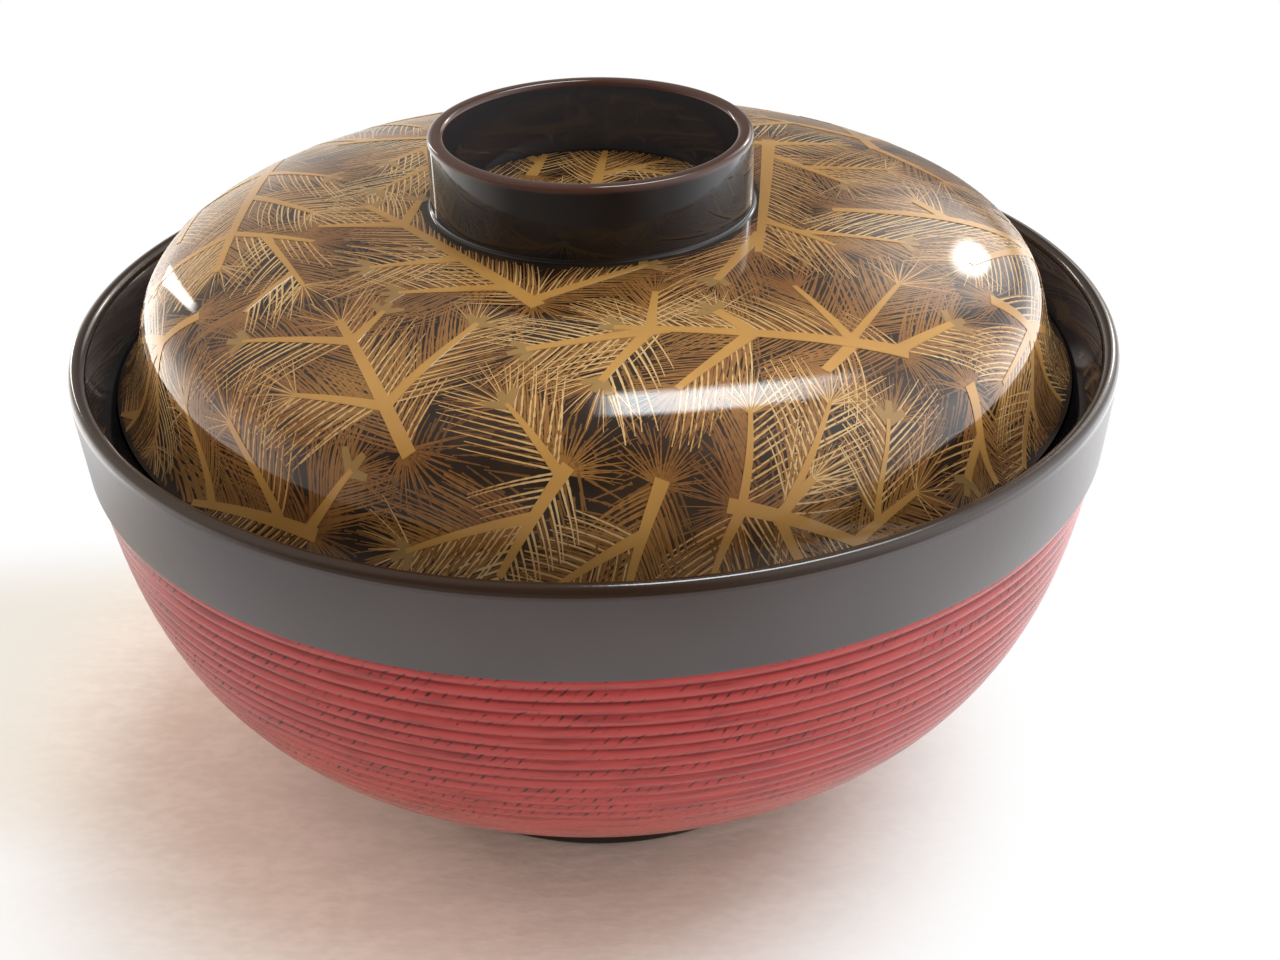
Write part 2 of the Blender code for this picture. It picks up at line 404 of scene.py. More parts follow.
@dataclass(frozen=True)
class PolishedLacquer(Finish):
    """Brown-black lacquer rubbed to a high gloss."""

    deep: Colour = (0.016, 0.010, 0.008)
    warm: Colour = (0.034, 0.018, 0.012)
    clouds: Patches = Patches(90.0, (0.35, 0.70))
    worn: Colour = (0.058, 0.023, 0.015)
    edges: tuple[Span, ...] = ()
    edge_waver: float = 0.6
    edge_scale: float = 420.0
    # painted light: the lighter grey of the hollow inside hollow_radius, used for the knob ring's bore
    hollow: Colour = (0.036, 0.034, 0.037)
    hollow_radius: float = 0.0
    hollow_fade: float = 0.0008
    roughness: float = 0.10
    ripple_scale: float = 260.0
    ripple_depth: float = 0.000003

    def fill(self, recipe: Recipe) -> None:
        """Add worn edges at some heights, and a greyer hollow inside a radius, if any, which is painted
        light.

        Args:
            recipe: Recipe to fill.
        """
        colour = recipe.blend(self.clouds.on(recipe), self.deep, self.warm)
        # painted light: inside the radius the lacquer is painted a lighter grey
        if self.hollow_radius:
            away = recipe.maths("SQRT", recipe.ellipse())
            outside = recipe.fade(away, self.hollow_radius, self.hollow_radius + self.hollow_fade)
            colour = recipe.blend(outside, self.hollow, colour)
        rub = recipe.noise(self.edge_scale)
        for low, high in self.edges:
            level = recipe.plus(recipe.height(), recipe.times(rub, (high - low) * self.edge_waver))
            colour = recipe.blend(recipe.fade(level, low, high), colour, self.worn)
        recipe.varnish(colour, self.roughness)
        recipe.bump(recipe.noise(self.ripple_scale), self.ripple_depth)


@dataclass(frozen=True)
class SatinBlack(Finish):
    """Black band with a satin sheen and a browner, rubbed lip."""

    name: str = "satin_black"
    black: Colour = (0.047, 0.036, 0.038)
    grey: Colour = (0.057, 0.044, 0.047)
    clouds: Patches = Patches(60.0, (0.3, 0.7))
    lip: Colour = (0.028, 0.013, 0.007)
    lip_rise: Span = (0.0612, 0.0622)
    roughness: float = 0.33
    lip_roughness: float = 0.11
    sheen: float = 0.65
    grit_scale: float = 900.0
    grit_depth: float = 0.000015

    def fill(self, recipe: Recipe) -> None:
        """Cloud the black a little and rub the lip glossier.

        Args:
            recipe: Recipe to fill.
        """
        body = recipe.blend(self.clouds.on(recipe), self.black, self.grey)
        height = recipe.height()
        colour = recipe.blend(recipe.fade(height, *self.lip_rise), body, self.lip)
        gloss = recipe.fade(height, *self.lip_rise, self.roughness, self.lip_roughness)
        recipe.set(base_color=colour, roughness=gloss, specular_ior_level=self.sheen)
        recipe.bump(recipe.noise(self.grit_scale), self.grit_depth)


@dataclass(frozen=True)
class GroovedRed(Finish):
    """Red lacquer over thread grooves, darker in the hollows: partly the dark under-coat, partly
    painted shade.

    The tool has chattered in places, which left rows of slanted dark dashes in the grooves.
    """

    name: str = "red_lacquer"
    red: Colour = (0.395, 0.046, 0.045)
    orange: Colour = (0.425, 0.062, 0.051)
    # dark of the streaks and the groove hollows; in the grooves partly the under-coat, partly painted
    # shade
    hollow: Colour = (0.130, 0.014, 0.014)
    dash: Colour = (0.066, 0.017, 0.018)
    orange_below: Ease = (0.016, 0.034, 1.0, 0.0)
    streaks: Patches = Patches(130.0, (0.47, 0.70, 0.0, 0.52), 9.0)
    lines: Ease = (0.28, 1.0)
    lines_above: Ease = (0.020, 0.042, 0.45, 1.0)
    line_patches: Patches = Patches(45.0, (0.36, 0.60, 0.28, 0.88), 12.0)
    dashes_round: int = 250
    dash_slant: float = 3600.0
    dash_waver: float = 7.0
    dash_waver_scale: float = 260.0
    dash_edges: Ease = (0.55, 0.95)
    dash_rows: Ease = (0.0, 0.40, 0.15, 1.0)
    dash_clusters: Patches = Patches(95.0, (0.455, 0.56), 6.0)
    dash_gaps: Patches = Patches(900.0, (0.35, 0.58), detail=2.0)
    roughness: float = 0.24
    sheen: float = 0.36
    grit_scale: float = 1400.0
    grit_depth: float = 0.000015

    def fill(self, recipe: Recipe) -> None:
        """Darken the red by how deep each point lies in a groove, more so higher up: partly the dark
        under-coat, partly painted shade.

        Args:
            recipe: Recipe to fill.
        """
        lower = recipe.fade(recipe.height(), *self.orange_below)
        colour = recipe.blend(lower, self.red, self.orange)
        colour = recipe.blend(self.streaks.on(recipe), colour, self.hollow)
        # partly the under-coat and partly painted shade in the grooves, stronger higher up
        depth = recipe.attribute("groove")
        upper = recipe.fade(recipe.height(), *self.lines_above)
        undercoat_and_shade = recipe.times(recipe.fade(depth, *self.lines), self.line_patches.on(recipe), upper)
        colour = recipe.blend(undercoat_and_shade, colour, self.hollow)
        colour = recipe.blend(self.chatter(recipe, depth), colour, self.dash)
        recipe.set(base_color=colour, roughness=self.roughness, specular_ior_level=self.sheen)
        recipe.bump(recipe.noise(self.grit_scale), self.grit_depth)

    def chatter(self, recipe: Recipe, depth: Socket) -> Socket:
        """Return where the slanted dashes lie.

        Args:
            recipe: Finish that they belong to.
            depth: How deep each point lies in a groove.

        Returns:
            Their share from 0 to 1.
        """
        x, y, z = recipe.split()
        turn = recipe.times(recipe.maths("ARCTAN2", y, x), float(self.dashes_round))
        climb = recipe.times(z, self.dash_slant)
        waver = recipe.times(recipe.noise(self.dash_waver_scale), self.dash_waver)
        wave = recipe.maths("SINE", recipe.plus(recipe.maths("SUBTRACT", turn, climb), waver))
        dashes = recipe.times(recipe.fade(wave, *self.dash_edges), self.dash_gaps.on(recipe))
        rows = recipe.fade(depth, *self.dash_rows)
        return recipe.times(dashes, self.dash_clusters.on(recipe), rows)


@dataclass(frozen=True)
class GoldPowder(Finish):
    """Gold powder sprinkled into lacquer and polished level."""

    gold: Colour
    shade: Colour
    clouds: Patches = Patches(70.0, (0.35, 0.68))
    # painted shade: dark mixed into the gold low on the skirt, near the lid's edge
    painted_edge_shade: Colour = (0.020, 0.012, 0.008)
    painted_edge_shade_below: Ease = (0.0585, 0.0670, 0.32, 0.0)
    metallic: float = 0.25
    roughness: float = 0.45

    def fill(self, recipe: Recipe) -> None:
        """Cloud the gold, and darken it towards the lid's edge as painted shade, where the bowl's rim
        shades the skirt.

        Args:
            recipe: Recipe to fill.
        """
        colour = recipe.blend(self.clouds.on(recipe), self.gold, self.shade)
        # painted shade: the gold darkens towards the lid's edge
        low = recipe.fade(recipe.height(), *self.painted_edge_shade_below)
        recipe.varnish(recipe.blend(low, colour, self.painted_edge_shade), self.roughness, self.metallic)


@dataclass(frozen=True)
class TurnedWood(Finish):
    """Bare wood of the cores, which only shows in a section."""

    name: str = "turned_wood"
    pale: Colour = (0.60, 0.43, 0.26)
    dark: Colour = (0.44, 0.28, 0.15)
    grain_scale: float = 60.0
    grain_stretch: Triple = (1.0, 8.0, 8.0)
    grain_detail: float = 6.0
    grain_depth: float = 0.00005
    roughness: float = 0.6

    def fill(self, recipe: Recipe) -> None:
        """Grain the wood.

        Args:
            recipe: Recipe to fill.
        """
        grain = recipe.noise(self.grain_scale, self.grain_stretch, self.grain_detail)
        colour = recipe.blend(grain, self.pale, self.dark)
        recipe.set(base_color=colour, roughness=self.roughness)
        recipe.bump(grain, self.grain_depth)


@dataclass(frozen=True)
class HempCloth(Finish):
    """Woven strips between the wood and the lacquer."""

    name: str = "hemp_cloth"
    thread: Colour = (0.64, 0.57, 0.43)
    gap: Colour = (0.34, 0.28, 0.19)
    pitch: float = 0.0008
    depth: float = 0.0001
    fuzz_scale: float = 1800.0
    roughness: float = 0.9

    def fill(self, recipe: Recipe) -> None:
        """Weave the cloth.

        Args:
            recipe: Recipe to fill.
        """
        inputs = {"Vector": recipe.place, "Scale": 1.0 / self.pitch}
        weave = recipe.node("ShaderNodeTexChecker", inputs)
        tone = recipe.times(weave.outputs["Fac"], recipe.noise(self.fuzz_scale))
        colour = recipe.blend(tone, self.thread, self.gap)
        recipe.set(base_color=colour, roughness=self.roughness)
        recipe.bump(tone, self.depth)


@dataclass
class Assembly:
    """Pieces that move together, each dressed and tied to the solids it stands for."""

    body: Body
    lathe: Lathe = Lathe()

    def turn(self, name: str, profile: Profile, finish: Finish, slot: Slot, node: str) -> None:
        """Turn and dress a piece that stands for one solid."""
        self.dress(self.lathe.turn(name, profile), finish, slot, node)

    def dress(self, piece: Piece, finish: Finish, slot: Slot, *nodes: str) -> None:
        """Give a piece its finish and its place in the frame.

        Args:
            piece: Piece to dress.
            finish: Its look.
            slot: Material slot of the record; not used.
            nodes: Solids that the piece stands for.
        """
        piece.data.materials.clear()
        piece.data.materials.append(finish.make())
        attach(piece, self.body.value)
        if nodes:
            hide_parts(*nodes)
        LOG.info("%s: %d faces", piece.name, len(piece.data.polygons))


@dataclass
class Bowl(Assembly):
    """Footed bowl with a black band, thread grooves and a dark inside."""

    body: Body = Body.BOWL
    rim_radius: float = 0.0660
    rim_height: float = 0.0630
    lip_wall: float = 0.0022
    band_foot_radius: float = 0.0649
    band_foot: float = 0.0510
    band_ease: Span = (0.00012, 0.0004)
    body_step: float = 0.0003
    outside_leave: Span = (0.057, 0.22)
    outside_arrive: Span = (0.91, 0.10)
    seat_radius: float = 0.060823
    seat_height: float = 0.0578
    floor_height: float = 0.0135
    inside_leave: Span = (0.063, 0.50)
    inside_arrive: Span = (0.92, 0.0)
    foot_radius: float = 0.0305
    foot_height: float = 0.0100
    foot_wall: float = 0.0040
    foot_recess: float = 0.0060
    foot_round: float = 0.0008
    foot_roughness: float = 0.16
    groove_pitch: float = 0.0018
    groove_depth: float = 0.00025
    grooved_drop: float = 0.0260
    groove_fade: float = 0.55
    points_in_groove: int = 10
    points_below: int = 24
    inside_deep: Colour = (0.020, 0.017, 0.020)
    inside_warm: Colour = (0.032, 0.024, 0.027)

    @property
    def lip_top(self) -> float:
        """Height at which the half-round lip starts."""
        return self.rim_height - self.lip_wall / 2

    def outside(self) -> Profile:
        """Trace the outside without its grooves.

        Returns:
            The profile from under the band down to the foot.
        """
        top = (self.band_foot_radius - self.body_step, self.band_foot)
        foot = (self.foot_radius, self.foot_height)
        return curve(top, foot, self.outside_leave, self.outside_arrive, 400)

    def build(self) -> None:
        """Build every piece of the bowl."""
        self.build_red()
        self.build_band()
        self.build_inside()
        self.build_foot()

    def build_red(self) -> None:
        """Build the grooved red coat."""
        smooth = np.array(self.outside())
        run = np.concatenate([[0.0], np.cumsum(np.hypot(*np.diff(smooth, axis=0).T))])
        grooved_run = float(np.interp(-(self.band_foot - self.grooved_drop), -smooth[:, 1], run))
        count = round(grooved_run / self.groove_pitch)
        grooved = np.linspace(0.0, grooved_run, count * self.points_in_groove + 1)
        plain = np.linspace(grooved_run, run[-1], self.points_below)[1:]
        places = np.concatenate([grooved, plain])
        wave = 1.0 - np.abs(np.sin(math.pi * grooved * count / grooved_run))
        wave *= 1.0 - self.groove_fade * (grooved / grooved_run) ** 3
        share = np.concatenate([wave, np.zeros(len(plain))])
        face = np.stack([np.interp(places, run, smooth[:, axis]) for axis in (0, 1)], axis=1)
        face = [tuple(point) for point in face.tolist()]
        outer = offset(face, (share * self.groove_depth).tolist())
        outer[0], outer[-1] = face[0], face[-1]
        inner = offset(face[:: self.points_in_groove] + face[-1:], COAT)
        piece = self.lathe.turn("red_coat", outer + inner[::-1])
        self.mark_grooves(piece, smooth)
        self.dress(piece, GroovedRed(), Slot.RED, "grooved_coat")

    def mark_grooves(self, piece: Piece, smooth: np.ndarray) -> None:
        """Store how deep each point lies in its groove.

        Args:
            piece: Grooved piece.
            smooth: Outside of the bowl without grooves.
        """
        places = np.empty(len(piece.data.vertices) * 3)
        piece.data.vertices.foreach_get("co", places)
        x, y, z = places.reshape(-1, 3).T
        depth = np.interp(z, smooth[::-1, 1], smooth[::-1, 0]) - np.hypot(x, y)
        mark = piece.data.attributes.new("groove", "FLOAT", "POINT")
        mark.data.foreach_set("value", np.clip(depth / self.groove_depth, 0.0, 1.0))

    def build_band(self) -> None:
        """Build the black band with its half-round lip."""
        bead = self.lip_wall / 2
        lip = arc((self.rim_radius - bead, self.lip_top), bead, 180.0, 0.0, 25)
        radius, height = self.band_foot_radius, self.band_foot
        ease = (radius + self.band_ease[0], height + self.band_ease[1])
        foot = [(radius, height), (radius - COAT, height)]
        profile = [*lip, ease, *foot, (self.rim_radius - COAT, self.lip_top)]
        self.turn("black_band", profile, SatinBlack(), Slot.SATIN, "rim_band")

    def build_inside(self) -> None:
        """Build the dark coat inside the bowl."""
        lip = (self.rim_radius - self.lip_wall, self.lip_top)
        seat, floor = (self.seat_radius, self.seat_height), (0.0, self.floor_height)
        wall = curve(seat, floor, self.inside_leave, self.inside_arrive, 60)
        back = offset(wall, -COAT)
        back[-1] = (0.0, self.floor_height - COAT)
        shell = [lip, *wall, *back[::-1], (lip[0] + COAT, lip[1])]
        finish = PolishedLacquer("dark_inside", deep=self.inside_deep, warm=self.inside_warm)
        self.turn("dark_inside", shell, finish, Slot.DARK, "bowl_lining")

    def build_foot(self) -> None:
        """Build the foot ring and the coat under the floor."""
        bore, edge = self.foot_radius - self.foot_wall, self.foot_round
        top = self.foot_height + COAT
        ring = [
            (self.foot_radius, top),
            *arc((self.foot_radius - edge, edge), edge, 0.0, -90.0, 7),
            *arc((bore + edge, edge), edge, -90.0, -180.0, 7),
            (bore, top),
        ]
        finish = PolishedLacquer("foot", roughness=self.foot_roughness)
        self.turn("foot", ring, finish, Slot.DARK, "foot_ring")
        low, high = self.foot_recess, self.foot_recess + COAT
        disc = [(0.0, high), (bore, high), (bore, low), (0.0, low)]
        self.turn("base", disc, replace(finish, name="base"), Slot.DARK, "base_coat")


class Chart:
    """Flat map of a turned face: distance from the axis along the face, and angle about it."""

    def __init__(self, profile: Profile) -> None:
        """Measure a face.

        Args:
            profile: Its profile, from the point nearest to the axis.
        """
        points = np.array(profile)
        steps = np.hypot(*np.diff(points, axis=0).T)
        self.run = points[0, 0] + np.concatenate([[0.0], np.cumsum(steps)])
        self.points = points
        along = np.gradient(points, axis=0)
        along /= np.linalg.norm(along, axis=1)[:, None]
        self.outward = np.stack([-along[:, 1], along[:, 0]], axis=1)
        self.bend = np.abs(np.gradient(np.unwrap(np.arctan2(along[:, 1], along[:, 0])), self.run))

    def bend_at(self, flat: np.ndarray) -> np.ndarray:
        """Return how sharply the face bends at flat points, as one over the radius."""
        return np.interp(np.abs(flat), self.run, self.bend)

    def lay(self, flat: np.ndarray, lift: np.ndarray) -> tuple[np.ndarray, np.ndarray]:
        """Carry flat points onto the face.

        Args:
            flat: Complex positions on the chart.
            lift: Height of each point over the face.

        Returns:
            Places and face normals, three columns each.
        """
        run = np.abs(flat)
        turn = flat / np.maximum(run, 1e-9)
        radius, height, out, up = (
            np.interp(run, self.run, column) for column in (*self.points.T, *self.outward.T)
        )
        radius = radius + out * lift
        places = np.stack([radius * turn.real, radius * turn.imag, height + up * lift], axis=1)
        normals = np.stack([out * turn.real, out * turn.imag, up], axis=1)
        return places, normals


@dataclass(frozen=True)
class Stroke:
    """One brush stroke on a chart, bent to one side, tapered and cut off where it is kept to.

    A stroke with a root grows out of another one.
    """

    start: complex
    heading: float
    length: float
    width: float
    tip: float = 0.1
    bend: float = 0.0
    kept: float = 1.0
    root: bool = True

    def at(self, share: float | np.ndarray) -> complex | np.ndarray:
        """Return the point at a share of the stroke's length."""
        forward = cmath.rect(self.length, self.heading)
        return self.start + forward * (share + 1j * self.bend * share**2)

    def heading_at(self, share: float) -> float:
        """Return the heading at a share of the stroke's length."""
        return self.heading + math.atan(2 * self.bend * share)


@dataclass(frozen=True)
class Needles:
    """Measures of one kind of needle, which stands in a row at a pitch or in a fan of some count.

    A needle may reach past the middle between two branches by the overlap.
    """

    lengths: Span
    widths: Span
    tip: float
    overlap: float
    pitch: float = 0.0
    count: int = 0

    def sizes(self, draw: random.Random) -> Span:
        """Draw a length and a width."""
        return draw.uniform(*self.lengths), draw.uniform(*self.widths)


@dataclass
class PineSpray:
    """Strokes of gold pine branches strewn over one face.

    Limbs are laid through the emptiest places, with arms that fork off them. Every needle
    belongs to the branch that it leaves, and ends soon after it has come nearer to another
    branch, so that the face is filled with clear tufts.
    """

    chart: Chart
    seed: int
    limb_lengths: tuple[Span, ...] = ((0.032, 0.046), (0.022, 0.030))
    limb_clearance: tuple[float, ...] = (0.0078, 0.0070)
    limb_widths: Span = (0.0015, 0.0019)
    limb_tips: Span = (0.45, 0.65)
    limb_bend: float = 0.03
    limb_end: float = 0.004
    limb_tries: int = 40
    arm_lengths: Span = (0.0115, 0.0170)
    arm_pitch: Span = (0.0105, 0.0135)
    arm_angles: Span = (0.75, 1.10)
    arm_widths: Span = (0.72, 0.92)
    arm_tips: Span = (0.35, 0.60)
    arm_bends: Span = (-0.02, 0.05)
    arm_cuts: tuple[float, ...] = (1.0, 0.8, 0.62)
    arm_clear_from: float = 0.45
    arm_clearance: float = 0.0036
    reach_backs: tuple[float, ...] = (0.7, 0.45, 0.2)
    reach_past: Span = (0.001, 0.003)
    reach_widths: Span = (0.75, 0.92)
    reach_clear_from: float = 0.62
    stub_lengths: Span = (0.0045, 0.0065)
    stub_share: float = 0.16
    stub_tip: float = 0.80
    gap: float = 0.0062
    gap_tries: int = 2500
    pair_share: float = 0.6
    row_leans: Span = (0.72, 1.0)
    row_curls: Span = (0.04, 0.20)
    fan_spreads: Span = (0.9, 1.5)
    bright_share: float = 0.62
    bright_row: Needles = Needles((0.0095, 0.0135), (0.00029, 0.00037), 0.38, 0.0042, pitch=0.00112)
    bright_fan: Needles = Needles((0.0055, 0.0090), (0.00022, 0.00029), 0.3, 0.0030, count=9)
    bright_fan_share: float = 0.5
    dim_share: float = 0.78
    dim_turn: float = 0.10
    dim_row: Needles = Needles((0.0095, 0.0140), (0.00033, 0.00045), 0.38, 0.0030, pitch=0.00064)
    dim_fan: Needles = Needles((0.0048, 0.0080), (0.00024, 0.00033), 0.3, 0.0030, count=23)
    hatch_pitch: float = 0.00054
    hatch_length: float = 0.0050
    hatch_widths: Span = (0.00034, 0.00048)
    hatch_lean: float = 0.80
    hatch_tries: int = 18000
    bud_share: float = 0.45
    bud_lengths: Span = (0.0020, 0.0028)
    bud_width: float = 0.0012
    bud_tip: float = 0.7
    bud_turns: tuple[float, ...] = (-0.95, 0.0, 0.95)
    bud_margin: float = 0.003
    margin: float = 0.0004
    samples: int = 15
    branches: list[Stroke] = field(default_factory=list)
    bright: list[Stroke] = field(default_factory=list)
    dim: list[Stroke] = field(default_factory=list)
    faint: list[Stroke] = field(default_factory=list)
    buds: list[Stroke] = field(default_factory=list)

    def __post_init__(self) -> None:
        """Draw the branches, the needles of each, and the hatch under them."""
        self.random = random.Random(self.seed)
        self.grow()
        self.starts = np.array([arm.start for arm in self.branches])
        self.spans = np.array([arm.at(1.0) - arm.start for arm in self.branches])
        for index in range(len(self.branches)):
            self.tuft(index)
        self.hatch()

    @property
    def limits(self) -> tuple[float, float]:
        """Runs between which strokes may lie."""
        low, high = float(self.chart.run[0]), float(self.chart.run[-1])
        return (low + self.margin if low > 0 else 0.0), high - self.margin

    def spots(self, branch: Stroke) -> np.ndarray:
        """Return points along a branch."""
        return branch.at(np.linspace(0.0, 1.0, 21))

    def strew(self, count: int) -> np.ndarray:
        """Strew points evenly over the chart.

        Args:
            count: Number of points.

        Returns:
            The points.
        """
        draw = self.random
        low, high = self.limits
        runs = [math.sqrt(draw.uniform(low**2, high**2)) for _ in range(count)]
        return np.array([cmath.rect(run, draw.uniform(-math.pi, math.pi)) for run in runs])

    def grow(self) -> None:
        """Grow branches through the emptiest place until none is left."""
        places = self.strew(self.gap_tries)
        room = np.full(len(places), 1.0)
        while room.max() > self.gap:
            emptiest = int(room.argmax())
            room[emptiest] = 0.0
            count = len(self.branches)
            self.branch_through(complex(places[emptiest]))
            for branch in self.branches[count:]:
                room = np.minimum(room, np.abs(places[:, None] - self.spots(branch)).min(axis=1))

    def branch_through(self, place: complex) -> None:
        """Lay a limb with its arms through a place, or an arm where no limb has room.

        Args:
            place: Point on the chart.
        """
        draw = self.random
        taken = np.concatenate([[1.0], *map(self.spots, self.branches)])
        for lengths, clearance in zip(self.limb_lengths, self.limb_clearance):
            for _ in range(self.limb_tries):
                length, share = draw.uniform(*lengths), draw.uniform(0.3, 0.7)
                heading = draw.uniform(-math.pi, math.pi)
                start = place - cmath.rect(length * share, heading)
                width, tip = draw.uniform(*self.limb_widths), draw.uniform(*self.limb_tips)
                bend = draw.uniform(-self.limb_bend, self.limb_bend)
                limb = Stroke(start, heading, length, width, tip, bend, root=False)
                if self.is_clear(limb, taken, 0.0, clearance):
                    self.branches.append(limb)
                    self.fork(limb, taken)
                    return
        self.reach_out(place, taken)

    def fork(self, limb: Stroke, taken: np.ndarray) -> None:
        """Draw the arms of a limb, on one side and the other in turn.

        Args:
            limb: Stroke that the arms leave.
            taken: Points that other branches lie on.
        """
        draw = self.random
        sign = draw.choice((-1, 1))
        place = draw.uniform(*self.arm_pitch) * 0.5
        while place < limb.length - self.limb_end:
            share = place / limb.length
            for side in (sign, -sign) if draw.random() < self.pair_share else (sign,):
                stub = draw.random() < self.stub_share
                length = draw.uniform(*(self.stub_lengths if stub else self.arm_lengths))
                for factor in self.arm_cuts:
                    arm = Stroke(
                        start=limb.at(share),
                        heading=limb.heading_at(share) + side * draw.uniform(*self.arm_angles),
                        length=length * factor * (1.1 - 0.35 * share),
                        width=limb.width * draw.uniform(*self.arm_widths),
                        tip=self.stub_tip if stub else draw.uniform(*self.arm_tips),
                        bend=-side * draw.uniform(*self.arm_bends),
                    )
                    if self.is_clear(arm, taken, self.arm_clear_from, self.arm_clearance):
                        self.branches.append(arm)
                        break
            sign = -sign
            place += draw.uniform(*self.arm_pitch)

    def reach_out(self, place: complex, taken: np.ndarray) -> None:
        """Draw an arm from the nearest branch to a place, slanting forward if it can.

        Args:
            place: Point on the chart.
            taken: Points that branches lie on.
        """
        draw = self.random
        nearest = min(self.branches, key=lambda branch: np.abs(self.spots(branch) - place).min())
        gaps = np.abs(self.spots(nearest) - place)
        share, away = float(gaps.argmin()) / (len(gaps) - 1), float(gaps.min())
        for back in self.reach_backs:
            start = nearest.at(max(share - back * away / nearest.length, 0.04))
            arm = Stroke(
                start=start,
                heading=cmath.phase(place - start),
                length=abs(place - start) + draw.uniform(*self.reach_past),
                width=nearest.width * draw.uniform(*self.reach_widths),
                tip=draw.uniform(*self.arm_tips),
            )
            if self.is_clear(arm, taken, self.reach_clear_from, self.arm_clearance):
                self.branches.append(arm)
                return

    def is_clear(self, stroke: Stroke, taken: np.ndarray, first: float, distance: float) -> bool:
        """Tell whether a stroke has room.

        Args:
            stroke: Stroke to test.
            taken: Points that other branches lie on.
            first: Share of the length from which the stroke is tested.
            distance: Least distance from those points.

        Returns:
            Whether it stays on the face at first and keeps its distance.
        """
        low, high = self.limits
        points = stroke.at(np.linspace(first, 1.0, 12))
        if (np.abs(points) < low).any() or (np.abs(points[:5]) > high).any():
            return False
        return bool(np.abs(points[:, None] - taken).min() > distance)

    def tuft(self, index: int) -> None:
        """Draw the needles of one branch.

        Either side has a dim row, a bright one or both, and its ends have fans and buds.

        Args:
            index: Place of the branch among all.
        """
        draw, arm = self.random, self.branches[index]
        for sign in (-1, 1):
            lean, style = draw.uniform(*self.row_leans), draw.random()
            if style < self.bright_share:
                self.bright += self.row(index, sign, lean, self.bright_row)
            if style > 1.0 - self.dim_share:
                self.dim += self.row(index, sign, lean - self.dim_turn, self.dim_row)
        if draw.random() < self.bud_share and abs(arm.at(1.0)) < self.limits[1] - self.bud_margin:
            for turn in self.bud_turns:
                heading = arm.heading_at(1.0) + turn + draw.uniform(-0.15, 0.15)
                length = draw.uniform(*self.bud_lengths)
                self.buds.append(Stroke(arm.at(0.97), heading, length, self.bud_width, self.bud_tip))
        for share, turn in ((0.96, 0.0), (0.03, math.pi)):
            if turn == 0.0 or not arm.root:
                self.dim += self.fan(index, share, turn, self.dim_fan)
        if draw.random() < self.bright_fan_share:
            self.bright += self.fan(index, 0.96, 0.0, self.bright_fan)

    def row(self, index: int, sign: int, lean: float, kind: Needles) -> list[Stroke]:
        """Draw a row of needles along one side of a branch, which curl alike.

        Args:
            index: Place of the branch among all.
            sign: Side of the branch, 1 or -1.
            lean: Angle between the branch and its needles.
            kind: Their measures.

        Returns:
            The needles that have room.
        """
        draw, arm = self.random, self.branches[index]
        count = max(int(arm.length / kind.pitch), 1)
        curl = draw.uniform(*self.row_curls)
        needles = []
        for share in [(step + 0.5 + draw.uniform(-0.22, 0.22)) / count for step in range(count)]:
            slant = lean * (1.0 - 0.2 * share) + draw.uniform(-0.035, 0.035)
            heading = arm.heading_at(share) + sign * slant
            length, width = kind.sizes(draw)
            bend = -sign * (curl + draw.uniform(-0.02, 0.02))
            needles.append(Stroke(arm.at(share), heading, length, width, kind.tip, bend))
        return self.keep(index, needles, kind.overlap)

    def fan(self, index: int, share: float, turn: float, kind: Needles) -> list[Stroke]:
        """Spread needles from an end of a branch.

        Args:
            index: Place of the branch among all.
            share: Share of the branch's length that they leave at.
            turn: Angle from the branch's heading to the middle of the fan.
            kind: Their measures.

        Returns:
            The needles that have room.
        """
        draw, arm = self.random, self.branches[index]
        spread = draw.uniform(*self.fan_spreads)
        middle = arm.heading_at(share) + turn
        needles = []
        for step in range(kind.count):
            slant = spread * (2 * step / (kind.count - 1) - 1)
            heading = middle + slant + draw.uniform(-0.05, 0.05)
            length, width = kind.sizes(draw)
            bend = draw.uniform(-0.06, 0.06)
            needles.append(Stroke(arm.at(share), heading, length, width, kind.tip, bend))
        return self.keep(index, needles, kind.overlap)

    def ways(self, points: np.ndarray) -> tuple[np.ndarray, np.ndarray]:
        """Measure points against every branch, taken as straight.

        Args:
            points: Points on the chart.

        Returns:
            Each point's share of each branch's length, and the way there from the branch.
        """
        offsets = points[..., None] - self.starts
        along = np.clip((offsets * self.spans.conj()).real / np.abs(self.spans) ** 2, 0.0, 1.0)
        return along, offsets - along * self.spans

    def hatch(self) -> None:
        """Fill the ground with short faint needles that follow those of the nearest branch."""
        draw = self.random
        middles = self.strew(self.hatch_tries)
        along, away = self.ways(middles)
        nearest = np.abs(away).argmin(axis=1)
        rows = np.arange(len(middles))
        along, away, span = along[rows, nearest], away[rows, nearest], self.spans[nearest]
        beside = np.angle(span) + np.sign((away / span).imag) * self.hatch_lean
        headings = np.where((along > 0.0) & (along < 1.0), beside, np.angle(away))
        laid = np.full(len(middles), 1.0 + 0.0j)
        for middle, heading in zip(middles, headings.tolist()):
            apart = (laid[: len(self.faint) + 1] - middle) * cmath.rect(1.0, -heading)
            near = np.abs(apart.imag) < self.hatch_pitch
            if (near & (np.abs(apart.real) < 0.5 * self.hatch_length)).any():
                continue
            needle = Stroke(
                start=complex(middle) - cmath.rect(self.hatch_length / 2, heading),
                heading=heading + draw.uniform(-0.08, 0.08),
                length=self.hatch_length,
                width=draw.uniform(*self.hatch_widths),
                tip=0.45,
                bend=draw.uniform(-0.06, 0.06),
            )
            low, high = self.limits
            if all(low <= abs(needle.at(share)) <= high for share in (0.0, 1.0)):
                self.faint.append(needle)
                laid[len(self.faint)] = middle

